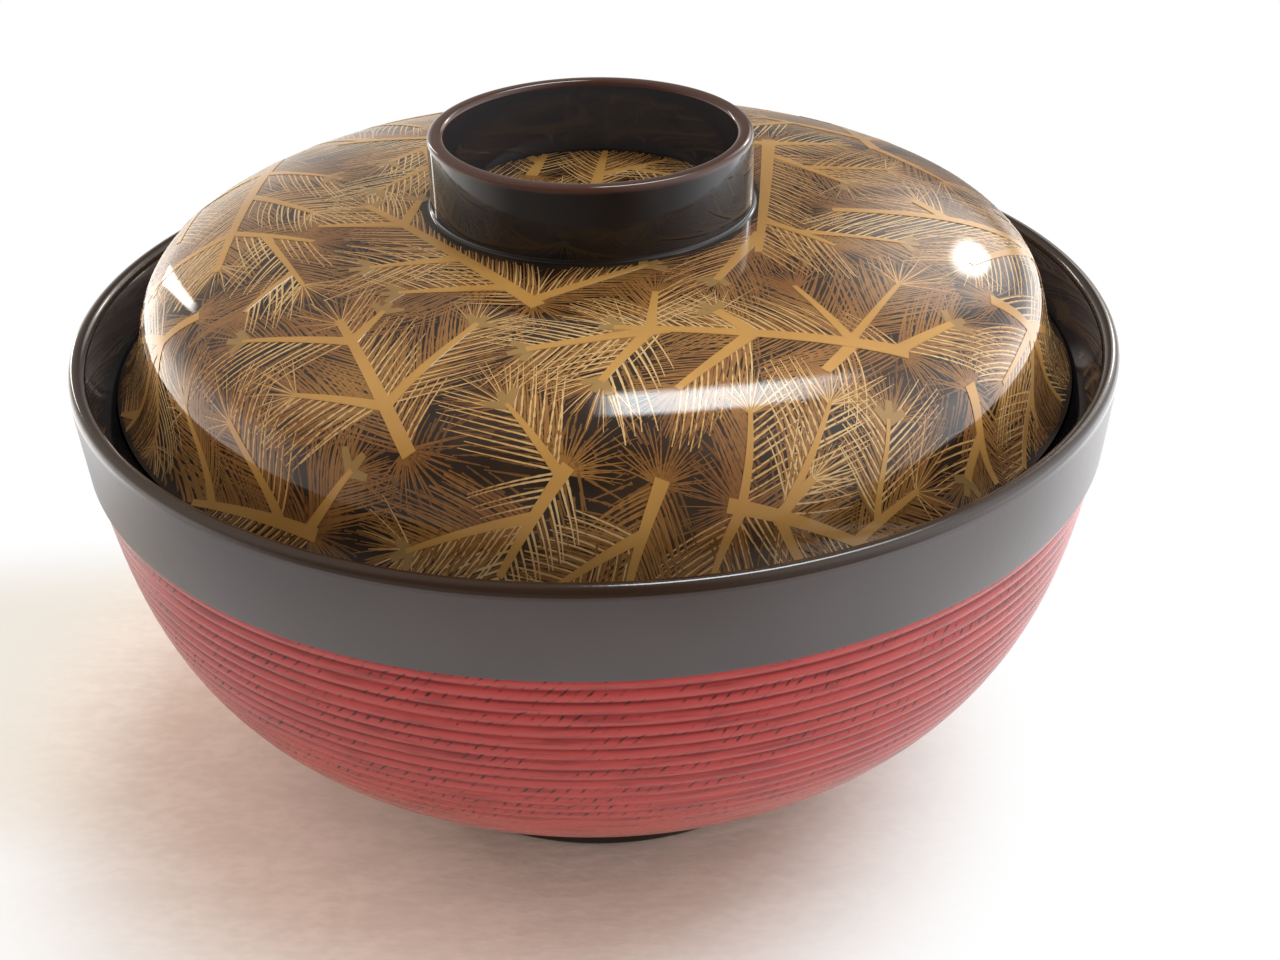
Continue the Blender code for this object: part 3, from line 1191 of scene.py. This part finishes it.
    def keep(self, index: int, needles: list[Stroke], overlap: float) -> list[Stroke]:
        """Cut a branch's needles where they have come nearer to another branch.

        Args:
            index: Place of the branch among all.
            needles: Needles of that branch.
            overlap: How much nearer another branch may be before a needle is cut.

        Returns:
            The needles that are left.
        """
        steps = np.linspace(0.0, 1.0, self.samples)
        points = np.array([needle.at(steps) for needle in needles])
        away = np.abs(self.ways(points)[1])
        inside = away[..., index] <= away.min(axis=-1) + overlap
        inside &= (np.abs(points) >= self.limits[0]) & (np.abs(points) <= self.limits[1])
        last = np.where(inside.all(axis=1), self.samples, inside.argmin(axis=1)) - 1
        return [replace(needle, kept=steps[end]) for needle, end in zip(needles, last) if end >= 2]

    def cut_branches(self) -> list[Stroke]:
        """Return the branches, each cut where it would leave the face."""
        kept = [self.keep(index, [arm], 1.0) for index, arm in enumerate(self.branches)]
        return sum(kept, [])


@dataclass(frozen=True)
class Brush:
    """Turns strokes into closed slivers that sit in the lid's face."""

    name: str
    segments: int
    crest: float
    sides: int = 3
    fall: float = 0.40
    crest_kinds: int = 9
    crest_step: float = 0.03
    sunk: float = 0.000005
    reach: float = 0.085

    def sliver(self) -> tuple[bpy.types.Mesh, np.ndarray]:
        """Model one straight sliver, with a ridge on three sides or a flat top on four.

        Returns:
            Its mesh, and for each vertex its share of the length, side and lift.
        """
        bm = bmesh.new()
        bmesh.ops.create_cone(
            bm, segments=self.sides, cap_ends=True, radius1=1.0, radius2=1.0, depth=1.0
        )
        if self.sides == 4:
            bmesh.ops.rotate(bm, verts=bm.verts, matrix=Matrix.Rotation(math.radians(45), 3, "Z"))
        for step in range(1, self.segments):
            cut = (0.0, 0.0, step / self.segments - 0.5)
            whole = bm.verts[:] + bm.edges[:] + bm.faces[:]
            bmesh.ops.bisect_plane(bm, geom=whole, plane_co=cut, plane_no=(0.0, 0.0, 1.0))
        mesh = settle(bm, self.name)
        corners = np.array([vertex.co for vertex in mesh.vertices])
        side = corners[:, 0] / corners[:, 0].max()
        return mesh, np.stack([corners[:, 2] + 0.5, side, corners[:, 1] > 0.0], axis=1)

    def repeat(self, mesh: bpy.types.Mesh, count: int) -> bpy.types.Mesh:
        """Repeat a mesh in one new mesh.

        Args:
            mesh: Mesh to repeat.
            count: Number of copies.

        Returns:
            The new mesh, its vertices copy after copy.
        """
        sample = link(bpy.data.objects.new("sample", mesh))
        sample.modifiers.new("copies", "ARRAY").count = count
        done = sample.evaluated_get(bpy.context.evaluated_depsgraph_get())
        copies = bpy.data.meshes.new_from_object(done)
        bpy.data.objects.remove(sample)
        copies.name = self.name
        return copies

    def paint(self, sets: list[tuple[Chart, list[Stroke]]]) -> Piece:
        """Lay strokes on their faces.

        Args:
            sets: Strokes with the chart of the face they lie on.

        Returns:
            One piece with all the slivers.
        """
        mesh, corners = self.sliver()
        parts = [self.place(chart, strokes, corners) for chart, strokes in sets if strokes]
        places, normals, flat = (np.concatenate(columns) for columns in zip(*parts))
        copies = self.repeat(mesh, len(places) // len(corners))
        copies.vertices.foreach_set("co", places.ravel())
        copies.update()
        copies.shade_smooth()
        chart = copies.uv_layers.new(name="OFBake")
        corner_of = np.empty(len(copies.loops), dtype=np.int32)
        copies.loops.foreach_get("vertex_index", corner_of)
        spot = 0.5 * flat[corner_of] / self.reach
        chart.data.foreach_set("uv", np.stack([spot.real + 0.5, spot.imag + 0.5], axis=1).ravel())
        copies.normals_split_custom_set_from_vertices(normals.tolist())
        return link(bpy.data.objects.new(self.name, copies))

    def place(self, chart: Chart, strokes: list[Stroke], corners: np.ndarray) -> tuple:
        """Work out where the slivers of some strokes lie.

        A sliver is straight between its cuts, so it is lifted by as much as the face rises
        over such a straight stretch. Crests fall towards the tip and differ a little, so
        that no two slivers that cross share a face.

        Args:
            chart: Chart of the face that carries the strokes.
            strokes: Strokes to lay.
            corners: Share of the length, side and lift of each sliver vertex.

        Returns:
            Places, normals and chart positions of all the vertices.
        """
        share, side, lift = corners.T
        rows, rises = [], []
        for stroke in strokes:
            part = share * stroke.kept
            across = cmath.rect(1.0, stroke.heading) * 1j
            half = 0.5 * stroke.width * (1.0 - (1.0 - stroke.tip) * share)
            row = stroke.at(part) + across * side * half
            straight = stroke.length * stroke.kept / self.segments
            downhill = np.cos(np.angle(row) - stroke.heading)
            rows.append(row)
            rises.append((straight * downhill) ** 2 / 8)
        flat = np.concatenate(rows)
        rise = np.concatenate(rises) * chart.bend_at(flat)
        crests = self.crest * (1.0 + self.crest_step * (np.arange(len(rows)) % self.crest_kinds))
        ridge = crests[:, None] * (1.0 - self.fall * share)
        height = np.where(lift > 0.5, ridge, -self.sunk).ravel() + rise
        places, normals = chart.lay(flat, height)
        return places, normals, flat


@dataclass
class Lid(Assembly):
    """Domed lid with its knob ring and gold pine branches."""

    body: Body = Body.LID
    base: float = 0.0572
    rise: float = 0.0208
    dome_leave: Span = (1.18, 0.055)
    dome_arrive: Span = (0.226, 0.410)
    edge_radius: float = 0.060523
    edge_round: float = 0.0006
    edge_wall: float = 0.0030
    wall: float = 0.0032
    flare_from: float = 0.0030
    knob_radius: float = 0.0200
    knob_height: float = 0.0093
    knob_wall: float = 0.0021
    knob_flare: float = 0.0005
    knob_round: float = 0.0007
    knob_deep: Colour = (0.006, 0.0040, 0.0032)
    knob_warm: Colour = (0.013, 0.0075, 0.0055)
    knob_worn: Span = (0.0008, 0.0002)
    # margin beyond the bore within which the ring is painted a lighter grey as painted light
    knob_hollow: float = 0.0002
    ground_deep: Colour = (0.020, 0.012, 0.008)
    ground_warm: Colour = (0.040, 0.022, 0.012)
    zones: tuple[tuple[str, float, float, int], ...] = (
        ("crown", 0.0, 0.044, 4),
        ("shoulder", 0.044, 0.058, 8),
        ("skirt", 0.058, 1.0, 8),
    )

    @property
    def top(self) -> float:
        """Height of the crown."""
        return self.base + self.rise

    def dome(self) -> Profile:
        """Trace the outside.

        Returns:
            The profile from the knob ring to the edge.
        """
        crown = (self.knob_radius + self.knob_flare, self.top)
        edge = (self.edge_radius, self.base + self.edge_round)
        return curve(crown, edge, self.dome_leave, self.dome_arrive, 90)

    def ground(self, name: str) -> PolishedLacquer:
        """Return the lacquer that the gold lies in."""
        return PolishedLacquer(name, deep=self.ground_deep, warm=self.ground_warm)

    def build(self) -> None:
        """Build every piece of the lid."""
        self.build_dome()
        self.build_inside()
        self.build_knob()
        self.build_pine()

    def build_dome(self) -> None:
        """Build the decorated coat, wrapped under the edge."""
        dome = self.dome()
        centre = (self.edge_radius - self.edge_round, self.base + self.edge_round)
        edge = arc(centre, self.edge_round, 0.0, -90.0, 7)
        inner = self.edge_radius - self.edge_wall
        wrap = [*edge[1:], (inner, self.base), (inner, self.base + COAT)]
        back = [point for point in offset(dome, COAT) if point[1] > self.base + COAT]
        profile = dome + wrap + back[::-1]
        self.turn("lid_dome", profile, self.ground("lid_ground"), Slot.GOLD, "lid_coat")

    def build_inside(self) -> None:
        """Build the dark coat inside the lid."""
        low, inner = self.base + self.flare_from, self.edge_radius - self.edge_wall
        crown = self.top - self.wall
        face = [point for point in offset(self.dome(), self.wall) if point[1] > low]
        back = [point for point in offset(self.dome(), self.wall - COAT) if point[1] > low]
        edge = [(inner + COAT, self.base + COAT), (inner, self.base + COAT)]
        profile = [(0.0, crown + COAT), *back, *edge, *face[::-1], (0.0, crown)]
        self.turn("lid_inside", profile, PolishedLacquer("lid_inside"), Slot.DARK, "lid_lining")

    def build_knob(self) -> None:
        """Build the knob ring and the decorated disc inside it."""
        bore = self.knob_radius - self.knob_wall
        foot, top = self.top - COAT, self.top + self.knob_height
        edge, flare = self.knob_round, self.knob_flare
        ring = [
            (bore, foot),
            *arc((bore + edge, top - edge), edge, 180.0, 90.0, 8),
            *arc((self.knob_radius - edge, top - edge), edge, 90.0, 0.0, 8),
            *arc((self.knob_radius + flare, self.top + flare), flare, 180.0, 270.0, 7),
            (self.knob_radius + flare, foot),
        ]
        finish = PolishedLacquer(
            "knob_ring",
            deep=self.knob_deep,
            warm=self.knob_warm,
            edges=((top - self.knob_worn[0], top - self.knob_worn[1]),),
            # painted light: the ring's bore is painted a lighter grey
            hollow_radius=bore + self.knob_hollow,
        )
        self.turn("knob", ring, finish, Slot.DARK, "knob_ring")
        disc = [(0.0, self.top), (bore, self.top), (bore, foot), (0.0, foot)]
        self.turn("knob_well", disc, self.ground("well_ground"), Slot.GOLD, "knob_well_coat")

    def build_pine(self) -> None:
        """Lay the gold pine branches over the dome and the disc in the knob ring.

        Each layer's crest is higher than the last one's, so that it covers it.
        """
        dome = PineSpray(Chart(self.dome()), seed=11)
        bore = self.knob_radius - self.knob_wall
        well = PineSpray(
            Chart([(0.0, self.top), (bore, self.top)]),
            seed=5,
            limb_lengths=((0.018, 0.026), (0.012, 0.016)),
            limb_clearance=(0.0060, 0.0052),
            arm_lengths=(0.0060, 0.0100),
            arm_pitch=(0.0075, 0.0095),
            arm_clearance=0.0030,
            gap=0.0048,
        )
        branch = GoldPowder("gold_branch", (0.47, 0.250, 0.066), (0.41, 0.21, 0.054))
        bud = GoldPowder("gold_bud", (0.31, 0.185, 0.062), (0.26, 0.15, 0.048))
        bright = GoldPowder("gold_bright", (0.58, 0.395, 0.180), (0.48, 0.265, 0.085))
        dim = GoldPowder("gold_dim", (0.29, 0.138, 0.037), (0.20, 0.082, 0.024))
        faint = GoldPowder("gold_faint", (0.19, 0.088, 0.026), (0.12, 0.050, 0.016))
        layers = [(Brush("pine_needles_ground", 4, 0.000008), faint, dome.faint, well.faint)]
        for zone, low, high, segments in self.zones:
            strokes = [stroke for stroke in dome.dim if low <= abs(stroke.start) < high]
            brush = Brush(f"pine_needles_{zone}", segments, 0.000014)
            layers.append((brush, dim, strokes, well.dim if low == 0.0 else []))
        bands = dome.cut_branches(), well.cut_branches()
        layers += [
            (Brush("pine_needles_bright", 8, 0.000022), bright, dome.bright, well.bright),
            (Brush("pine_buds", 4, 0.000050, sides=4, fall=0.0), bud, dome.buds, well.buds),
            (Brush("pine_branches", 28, 0.000070, sides=4, fall=0.0), branch, *bands),
        ]
        for brush, finish, on_dome, in_well in layers:
            piece = brush.paint([(dome.chart, on_dome), (well.chart, in_well)])
            self.dress(piece, finish, Slot.GOLD)


@dataclass(frozen=True)
class SoftBox:
    """Rectangular studio lamp."""

    name: str
    place: Triple
    aim: Triple
    size: Span
    power: float

    def build(self) -> None:
        """Hang the lamp, out of sight of the gloss."""
        lamp = bpy.data.lights.new(self.name, "AREA")
        lamp.shape = "RECTANGLE"
        lamp.size, lamp.size_y = self.size
        lamp.energy = self.power
        holder = link(bpy.data.objects.new(self.name, lamp))
        holder.visible_glossy = False
        holder.location = self.place
        holder.rotation_euler = facing(self.place, self.aim).to_euler()


@dataclass(frozen=True)
class Glow:
    """Soft round light in the surroundings, between two cosines of the angle from its middle."""

    toward: Triple
    low: float
    high: float
    strength: float

    def light(self, graph: Graph) -> Socket:
        """Shine it into the surroundings.

        Args:
            graph: Node tree of the surroundings.

        Returns:
            Its strength in each direction.
        """
        inputs = {0: graph.place, 1: self.toward}
        dot = graph.node("ShaderNodeVectorMath", inputs, operation="DOT_PRODUCT")
        return graph.fade(dot.outputs["Value"], self.low, self.high, 0.0, self.strength)


@dataclass(frozen=True)
class Skylight:
    """Soft-edged ceiling light that fades to the right."""

    left: Span = (-0.02, 0.06)
    right: Span = (0.16, 0.66)
    near: Span = (0.23, 0.32)
    far: Span = (0.51, 0.62)
    least_height: float = 0.1
    strength: float = 14.0

    def light(self, graph: Graph) -> Socket:
        """Shine it into the surroundings.

        Args:
            graph: Node tree of the surroundings.

        Returns:
            Its strength in each direction.
        """
        x, y, z = graph.split()
        height = graph.maths("MAXIMUM", z, self.least_height)
        across, along = graph.maths("DIVIDE", x, height), graph.maths("DIVIDE", y, height)
        wide = graph.between(across, self.left, self.right, self.strength)
        return graph.times(wide, graph.between(along, self.near, self.far))


@dataclass(frozen=True)
class Window:
    """Tall narrow window behind the bowl on the left, which leans a little."""

    left: Span = (-0.665, -0.625)
    right: Span = (-0.575, -0.535)
    foot: Span = (0.03, 0.08)
    head: Span = (0.35, 0.41)
    behind: Span = (0.4, 0.5)
    least_distance: float = 0.1
    lean: float = 0.37
    strength: float = 10.0

    def light(self, graph: Graph) -> Socket:
        """Shine it into the surroundings.

        Args:
            graph: Node tree of the surroundings.

        Returns:
            Its strength in each direction.
        """
        x, y, z = graph.split()
        across = graph.maths("DIVIDE", x, graph.maths("MAXIMUM", y, self.least_distance))
        across = graph.plus(across, graph.times(z, self.lean))
        sides = graph.between(across, self.left, self.right, self.strength)
        return graph.times(sides, graph.between(z, self.foot, self.head), graph.fade(y, *self.behind))


@dataclass(frozen=True)
class Surroundings:
    """Pale room with its lights, white where the camera sees it.

    Directions are one unit long, with x to the right, y away from the camera and z up.
    The fill lights matt faces, and the flanks show in the gloss alone.
    """

    room_colour: Colour = (1.0, 0.95, 0.89)
    right_colour: Colour = (0.93, 0.96, 1.0)
    right_from: Ease = (0.30, 0.90)
    sky_colour: Colour = (0.86, 0.95, 1.0)
    sky_from: Ease = (0.0, 3.0)
    room_left: Ease = (-0.95, 0.35, 2.3, 0.5)
    room_right: Ease = (0.45, 0.95, 0.0, 1.8)
    room_depth: Ease = (-0.6, 0.2, 0.22, 1.0)
    room_height: Ease = (0.05, 0.40, 0.8, 0.30)
    fill_side: Ease = (-0.9, 0.9, 0.58, 1.30)
    fill_depth: Ease = (-0.5, 0.5, 0.90, 0.45)
    fill_height: Ease = (0.0, 0.6, 1.65, 0.42)
    flank_left: Ease = (-0.60, -0.35, 1.6, 0.0)
    flank_right: Ease = (0.30, 0.50, 0.0, 1.5)
    flank_depth: Ease = (0.28, 0.56)
    flank_height: Ease = (-0.08, 0.14, 1.0, 0.0)
    overhead: Glow = Glow((-0.50, 0.10, 0.86), 0.50, 1.0, 1.1)
    glows: tuple[Glow, ...] = (
        Glow((0.80, 0.15, 0.58), 0.50, 0.98, 0.9),
        Glow((0.90, -0.35, 0.26), 0.45, 0.95, 0.35),
        Glow((0.421, 0.826, 0.375), 0.9962, 1.0, 11.0),
        Glow((0.421, 0.826, 0.375), 0.955, 1.0, 2.0),
    )
    skylight: Skylight = Skylight()
    window: Window = Window()

    def build(self) -> None:
        """Light the room softly, with lights that the gloss mirrors."""
        world = bpy.data.worlds.new("surroundings")
        world.use_nodes = True
        graph = Graph(world.node_tree, "Generated")
        x, y, z = graph.split()
        fill = graph.times(graph.fade(y, *self.fill_depth), graph.fade(x, *self.fill_side))
        fill = graph.times(fill, graph.fade(z, *self.fill_height))
        fill = graph.plus(fill, self.overhead.light(graph))
        room = graph.plus(graph.fade(x, *self.room_left), graph.fade(x, *self.room_right))
        room = graph.times(room, graph.fade(z, *self.room_height), graph.fade(y, *self.room_depth))
        flanks = graph.plus(graph.fade(x, *self.flank_left), graph.fade(x, *self.flank_right))
        flanks = graph.times(flanks, graph.fade(z, *self.flank_height), graph.ray("Glossy"))
        flanks = graph.times(flanks, graph.fade(y, *self.flank_depth))
        sky = self.skylight.light(graph)
        lit = graph.maths("MAXIMUM", room, graph.times(graph.ray("Diffuse"), fill))
        glows = [glow.light(graph) for glow in self.glows]
        lit = graph.plus(lit, *glows, flanks, sky, self.window.light(graph))
        background = graph.nodes["Background"]
        direct = graph.ray("Camera")
        lit = graph.times(lit, graph.maths("SUBTRACT", 1.0, direct))
        graph.feed(background.inputs["Strength"], graph.plus(lit, direct))
        tint = graph.blend(graph.fade(x, *self.right_from), self.room_colour, self.right_colour)
        tint = graph.blend(graph.fade(sky, *self.sky_from), tint, self.sky_colour)
        graph.feed(background.inputs["Color"], graph.blend(direct, tint, WHITE))
        bpy.context.scene.world = world


@dataclass(frozen=True)
class Floor:
    """Pale creased floor, white to the camera away from the bowl and gone before its edge."""

    half: float = 0.40
    drop: float = 0.00005
    colour: Colour = (0.86, 0.745, 0.645)
    # painted shade: the darker colour of the cloth's creases
    crease_shade: Colour = (0.78, 0.665, 0.57)
    creases: Ease = (0.12, 0.38)
    crease_scale: float = 90.0
    crease_stretch: Triple = (1.0, 2.2, 1.0)
    fibre_scale: float = 420.0
    fibre_stretch: Triple = (1.0, 1.8, 1.0)
    fold_scale: float = 220.0
    fold_stretch: Triple = (1.0, 2.0, 1.0)
    fold_depth: float = 0.0006
    fold_share: float = 0.35
    detail: float = 6.0
    roughness: float = 0.9
    # painted shade: the floor far in front of the bowl, which the gloss mirrors
    dark: Colour = (0.20, 0.18, 0.17)
    dark_before: Ease = (-0.20, -0.08)
    # painted shadow: a warm tint in the floor's white, on the left of the bowl and towards the
    # front-left corner
    painted_shadow: Colour = (0.87, 0.81, 0.73)
    painted_shadow_centre: Span = (-0.080, 0.008)
    painted_shadow_radii: Span = (0.088, 0.0417)
    painted_shadow_ends: Ease = (0.20, 1.10)
    corner_shadow_centre: Span = (-0.075, -0.062)
    corner_shadow_radii: Span = (0.065, 0.050)
    corner_shadow_ends: Ease = (0.10, 1.0, 0.78, 1.0)
    glare_left: Ease = (-0.17, -0.10, 1.9, 0.0)
    glare_right: Ease = (0.10, 0.17, 0.0, 1.3)
    glare_behind: Ease = (-0.04, 0.05)
    glare_near: Ease = (0.04, 0.10, 0.0, 0.65)
    shade_centre: Span = (-0.016, 0.004)
    shade_radii: Span = (1.0, 1.0 / 0.85)
    shade_ends: Ease = (0.044, 0.078)
    floor_ends: Ease = (0.14, 0.34)

    def build(self) -> None:
        """Lay the floor."""
        bm = bmesh.new()
        bmesh.ops.create_grid(bm, x_segments=8, y_segments=8, size=self.half)
        bmesh.ops.translate(bm, verts=bm.verts, vec=(0.0, 0.0, -self.drop))
        mesh = settle(bm, "floor")
        recipe = Recipe("floor")
        # painted shade: 0 far in front of the bowl, where the floor is painted dark
        behind = recipe.fade(recipe.split()[1], *self.dark_before)
        self.colour_shade(recipe, behind)
        away = recipe.maths("SQRT", recipe.ellipse(self.shade_centre, self.shade_radii))
        seen = recipe.maths("MAXIMUM", recipe.ray("Camera"), recipe.times(recipe.ray("Glossy"), behind))
        white = recipe.times(recipe.fade(away, *self.shade_ends), seen)
        shown = recipe.mix(white, recipe.shader.outputs[0], self.bleach(recipe))
        below = recipe.node("ShaderNodeNewGeometry").outputs["Backfacing"]
        gone = recipe.maths("MAXIMUM", recipe.fade(away, *self.floor_ends), below)
        surface = recipe.mix(gone, shown, recipe.node("ShaderNodeBsdfTransparent").outputs[0])
        recipe.feed(recipe.nodes["Material Output"].inputs["Surface"], surface)
        mesh.materials.append(recipe.material)
        link(bpy.data.objects.new("floor", mesh))

    def colour_shade(self, recipe: Recipe, behind: Socket) -> None:
        """Colour the floor near the bowl, which takes its shade. The floor far in front of the bowl is
        painted dark as shade, and its creases are painted darker as their shade.

        Args:
            recipe: Finish of the floor.
            behind: 0 far in front of the bowl, where the floor is painted dark as shade, and 1
                elsewhere.
        """
        creases = recipe.noise(self.crease_scale, self.crease_stretch, self.detail)
        fibres = recipe.noise(self.fibre_scale, self.fibre_stretch)
        creases = recipe.fade(recipe.times(creases, fibres), *self.creases)
        # painted shade: the creases are painted darker
        pale = recipe.blend(creases, self.crease_shade, self.colour)
        recipe.set(base_color=recipe.blend(behind, self.dark, pale), roughness=self.roughness)
        folds = recipe.noise(self.fold_scale, self.fold_stretch, self.detail)
        recipe.bump(folds, self.fold_depth, self.fold_share)

    def bleach(self, recipe: Recipe) -> Socket:
        """Make the white floor, with a warm painted shadow on the left and towards the front-left
        corner, and brighter where the gloss mirrors it.

        Args:
            recipe: Finish of the floor.

        Returns:
            Its shader.
        """
        # painted shadow: the warm tint left of the bowl and at the front-left corner
        painted_shadow = recipe.fade(recipe.ellipse(self.painted_shadow_centre, self.painted_shadow_radii), *self.painted_shadow_ends)
        corner_shadow = recipe.fade(recipe.ellipse(self.corner_shadow_centre, self.corner_shadow_radii), *self.corner_shadow_ends)
        colour = recipe.blend(recipe.maths("MINIMUM", painted_shadow, corner_shadow), self.painted_shadow, WHITE)
        x, y, _ = recipe.split()
        beside = recipe.plus(recipe.fade(x, *self.glare_left), recipe.fade(x, *self.glare_right))
        beside = recipe.times(beside, recipe.fade(y, *self.glare_behind))
        glare = recipe.plus(recipe.fade(x, *self.glare_near), beside)
        glare = recipe.times(glare, recipe.maths("SUBTRACT", 1.0, recipe.ray("Camera")))
        inputs = {"Color": colour, "Strength": recipe.plus(glare, 1.0)}
        return recipe.node("ShaderNodeEmission", inputs).outputs[0]


@dataclass(frozen=True)
class Viewpoint:
    """Place that the photograph was taken from."""

    place: Triple = (0.0, -0.22964, 0.16935)
    aim: Triple = (0.005476, 0.0, 0.037548)
    roll: float = math.radians(-0.80)
    lens: float = 55.25
    clip_start: float = 0.01

    def build(self) -> None:
        """Place the camera."""
        data = bpy.data.cameras.new("camera")
        data.lens = self.lens
        data.clip_start = self.clip_start
        camera = link(bpy.data.objects.new("camera", data))
        camera.location = self.place
        camera.rotation_mode = "QUATERNION"
        turn = Quaternion((0.0, 0.0, 1.0), self.roll)
        camera.rotation_quaternion = facing(self.place, self.aim) @ turn
        bpy.context.scene.camera = camera


@dataclass(frozen=True)
class Studio:
    """All that is around the bowl: floor, surroundings, lamps and camera."""

    floor: Floor = Floor()
    surroundings: Surroundings = Surroundings()
    lamps: tuple[SoftBox, ...] = (
        SoftBox("back_left", (-0.69, 0.98, 0.34), (0.0, 0.0, 0.07), (0.065, 0.28), 1.7),
    )
    viewpoint: Viewpoint = Viewpoint()

    def build(self) -> None:
        """Set up the whole studio."""
        for thing in (self.floor, self.surroundings, *self.lamps, self.viewpoint):
            thing.build()
        bpy.context.scene.view_settings.view_transform = "Standard"


def dress_cores() -> None:
    """Give the solids that stay their wood and cloth."""
    wood, cloth = TurnedWood().make(), HempCloth().make()
    for name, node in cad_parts.items():
        if name.endswith("_core"):
            node.material_slots[0].material = wood
        elif name.endswith("_cloth"):
            node.material_slots[0].material = cloth


def main() -> None:
    """Build the studio, the bowl and the lid."""
    logging.basicConfig(level=logging.INFO, format="%(name)s: %(message)s")
    Studio().build()
    dress_cores()
    Bowl().build()
    Lid().build()


if __name__ == "__main__":
    main()
